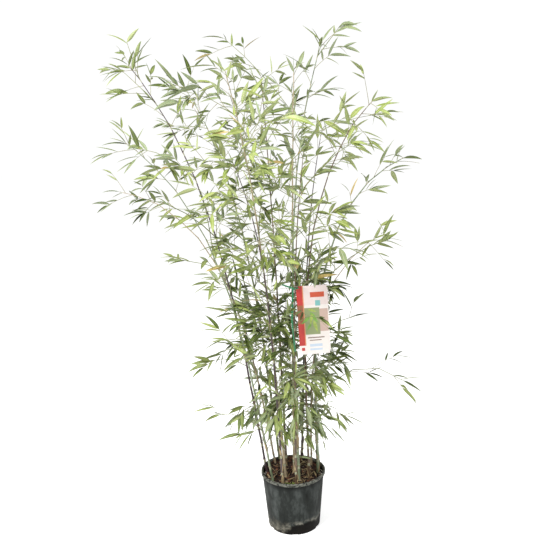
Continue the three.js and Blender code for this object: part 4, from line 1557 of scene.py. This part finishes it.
# %% [markdown]
# ## Stage, light and camera
# The plant stands on a plain white floor under a white sky, as in a studio with every wall
# washed out. The sky that the camera sees is whiter than the one that lights the leaves, or
# their shaded sides would be as pale as the lit ones; the floor gets the same help. A strong
# light from the upper left gives the leaves a lit side, and a weaker one fills the right.
# The camera stands a little over two metres away and 1.4 metres up, looks somewhat down, and is
# turned by under two degrees, as a hand-held camera is. Colours are shown with no film curve.

# %% Floor and sky
SKY_SEEN, SKY = 1.02, 0.55
FLOOR_SEEN = 0.52  # a glow that only the camera sees


def seen_and_unseen(tree, seen, unseen):
    """A strength for what the camera sees directly, and another for what lights the scene."""
    path = add_node(tree, "ShaderNodeLightPath")
    return rescaled(tree, path.outputs["Is Camera Ray"], (0, 1), (unseen, seen))


floor_mesh = bpy.data.meshes.new("floor")
floor_mesh.from_pydata([(-40, -40, 0), (40, -40, 0), (40, 40, 0), (-40, 40, 0)], [], [(0, 1, 2, 3)])
floor = put_in_scene("floor", floor_mesh)
floor_paint, tree, shader = new_material("white_studio_floor", 0.9, 1.45)
shader.inputs["Base Color"].default_value = linear("#f6f6f6")
shader.inputs["Emission Color"].default_value = (1, 1, 1, 1)
tree.links.new(seen_and_unseen(tree, FLOOR_SEEN, 0.0), shader.inputs["Emission Strength"])
floor_mesh.materials.append(floor_paint)
floor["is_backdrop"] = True

world = bpy.data.worlds.new("studio")
bpy.context.scene.world = world
world.use_nodes = True
tree = world.node_tree
sky = tree.nodes["Background"]
sky.inputs["Color"].default_value = (1, 1, 1, 1)
tree.links.new(seen_and_unseen(tree, SKY_SEEN, SKY), sky.inputs["Strength"])

# %% Lights


def soft_light(name, place, aim, size, power):
    lamp = bpy.data.lights.new(name, "AREA")
    lamp.shape = "DISK"
    lamp.size = size
    lamp.energy = power
    light = put_in_scene(name, lamp)
    light.location = place
    light.rotation_euler = (Vector(aim) - Vector(place)).to_track_quat("-Z", "Y").to_euler()


soft_light("key", (-2.0, -2.4, 3.6), (0, 0, 0.9), 1.0, 230)
soft_light("fill", (2.6, -2.0, 2.2), (0, 0, 0.8), 2.0, 40)

# %% Camera
STANDS_AT = (-0.039, -2.30, 1.40)
LOOKS_DOWN = 11  # degrees
TURNED = -1.8
camera_data = bpy.data.cameras.new("studio_camera")
camera_data.lens = 43.0
camera = put_in_scene("studio_camera", camera_data)
tilt_down = Matrix.Rotation(math.radians(90 - LOOKS_DOWN), 4, "X")
roll = Matrix.Rotation(math.radians(TURNED), 4, "Z")
camera.matrix_world = Matrix.Translation(STANDS_AT) @ tilt_down @ roll
bpy.context.scene.camera = camera
bpy.context.scene.view_settings.view_transform = "Standard"

# %% [markdown]
# ## Sizes at the end
# The dressed plant has to stay inside the model's box, so both boxes are printed.

# %% Sizes
low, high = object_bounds()
print("dressed box in metres:", [round(v, 3) for v in (*low, *high)])
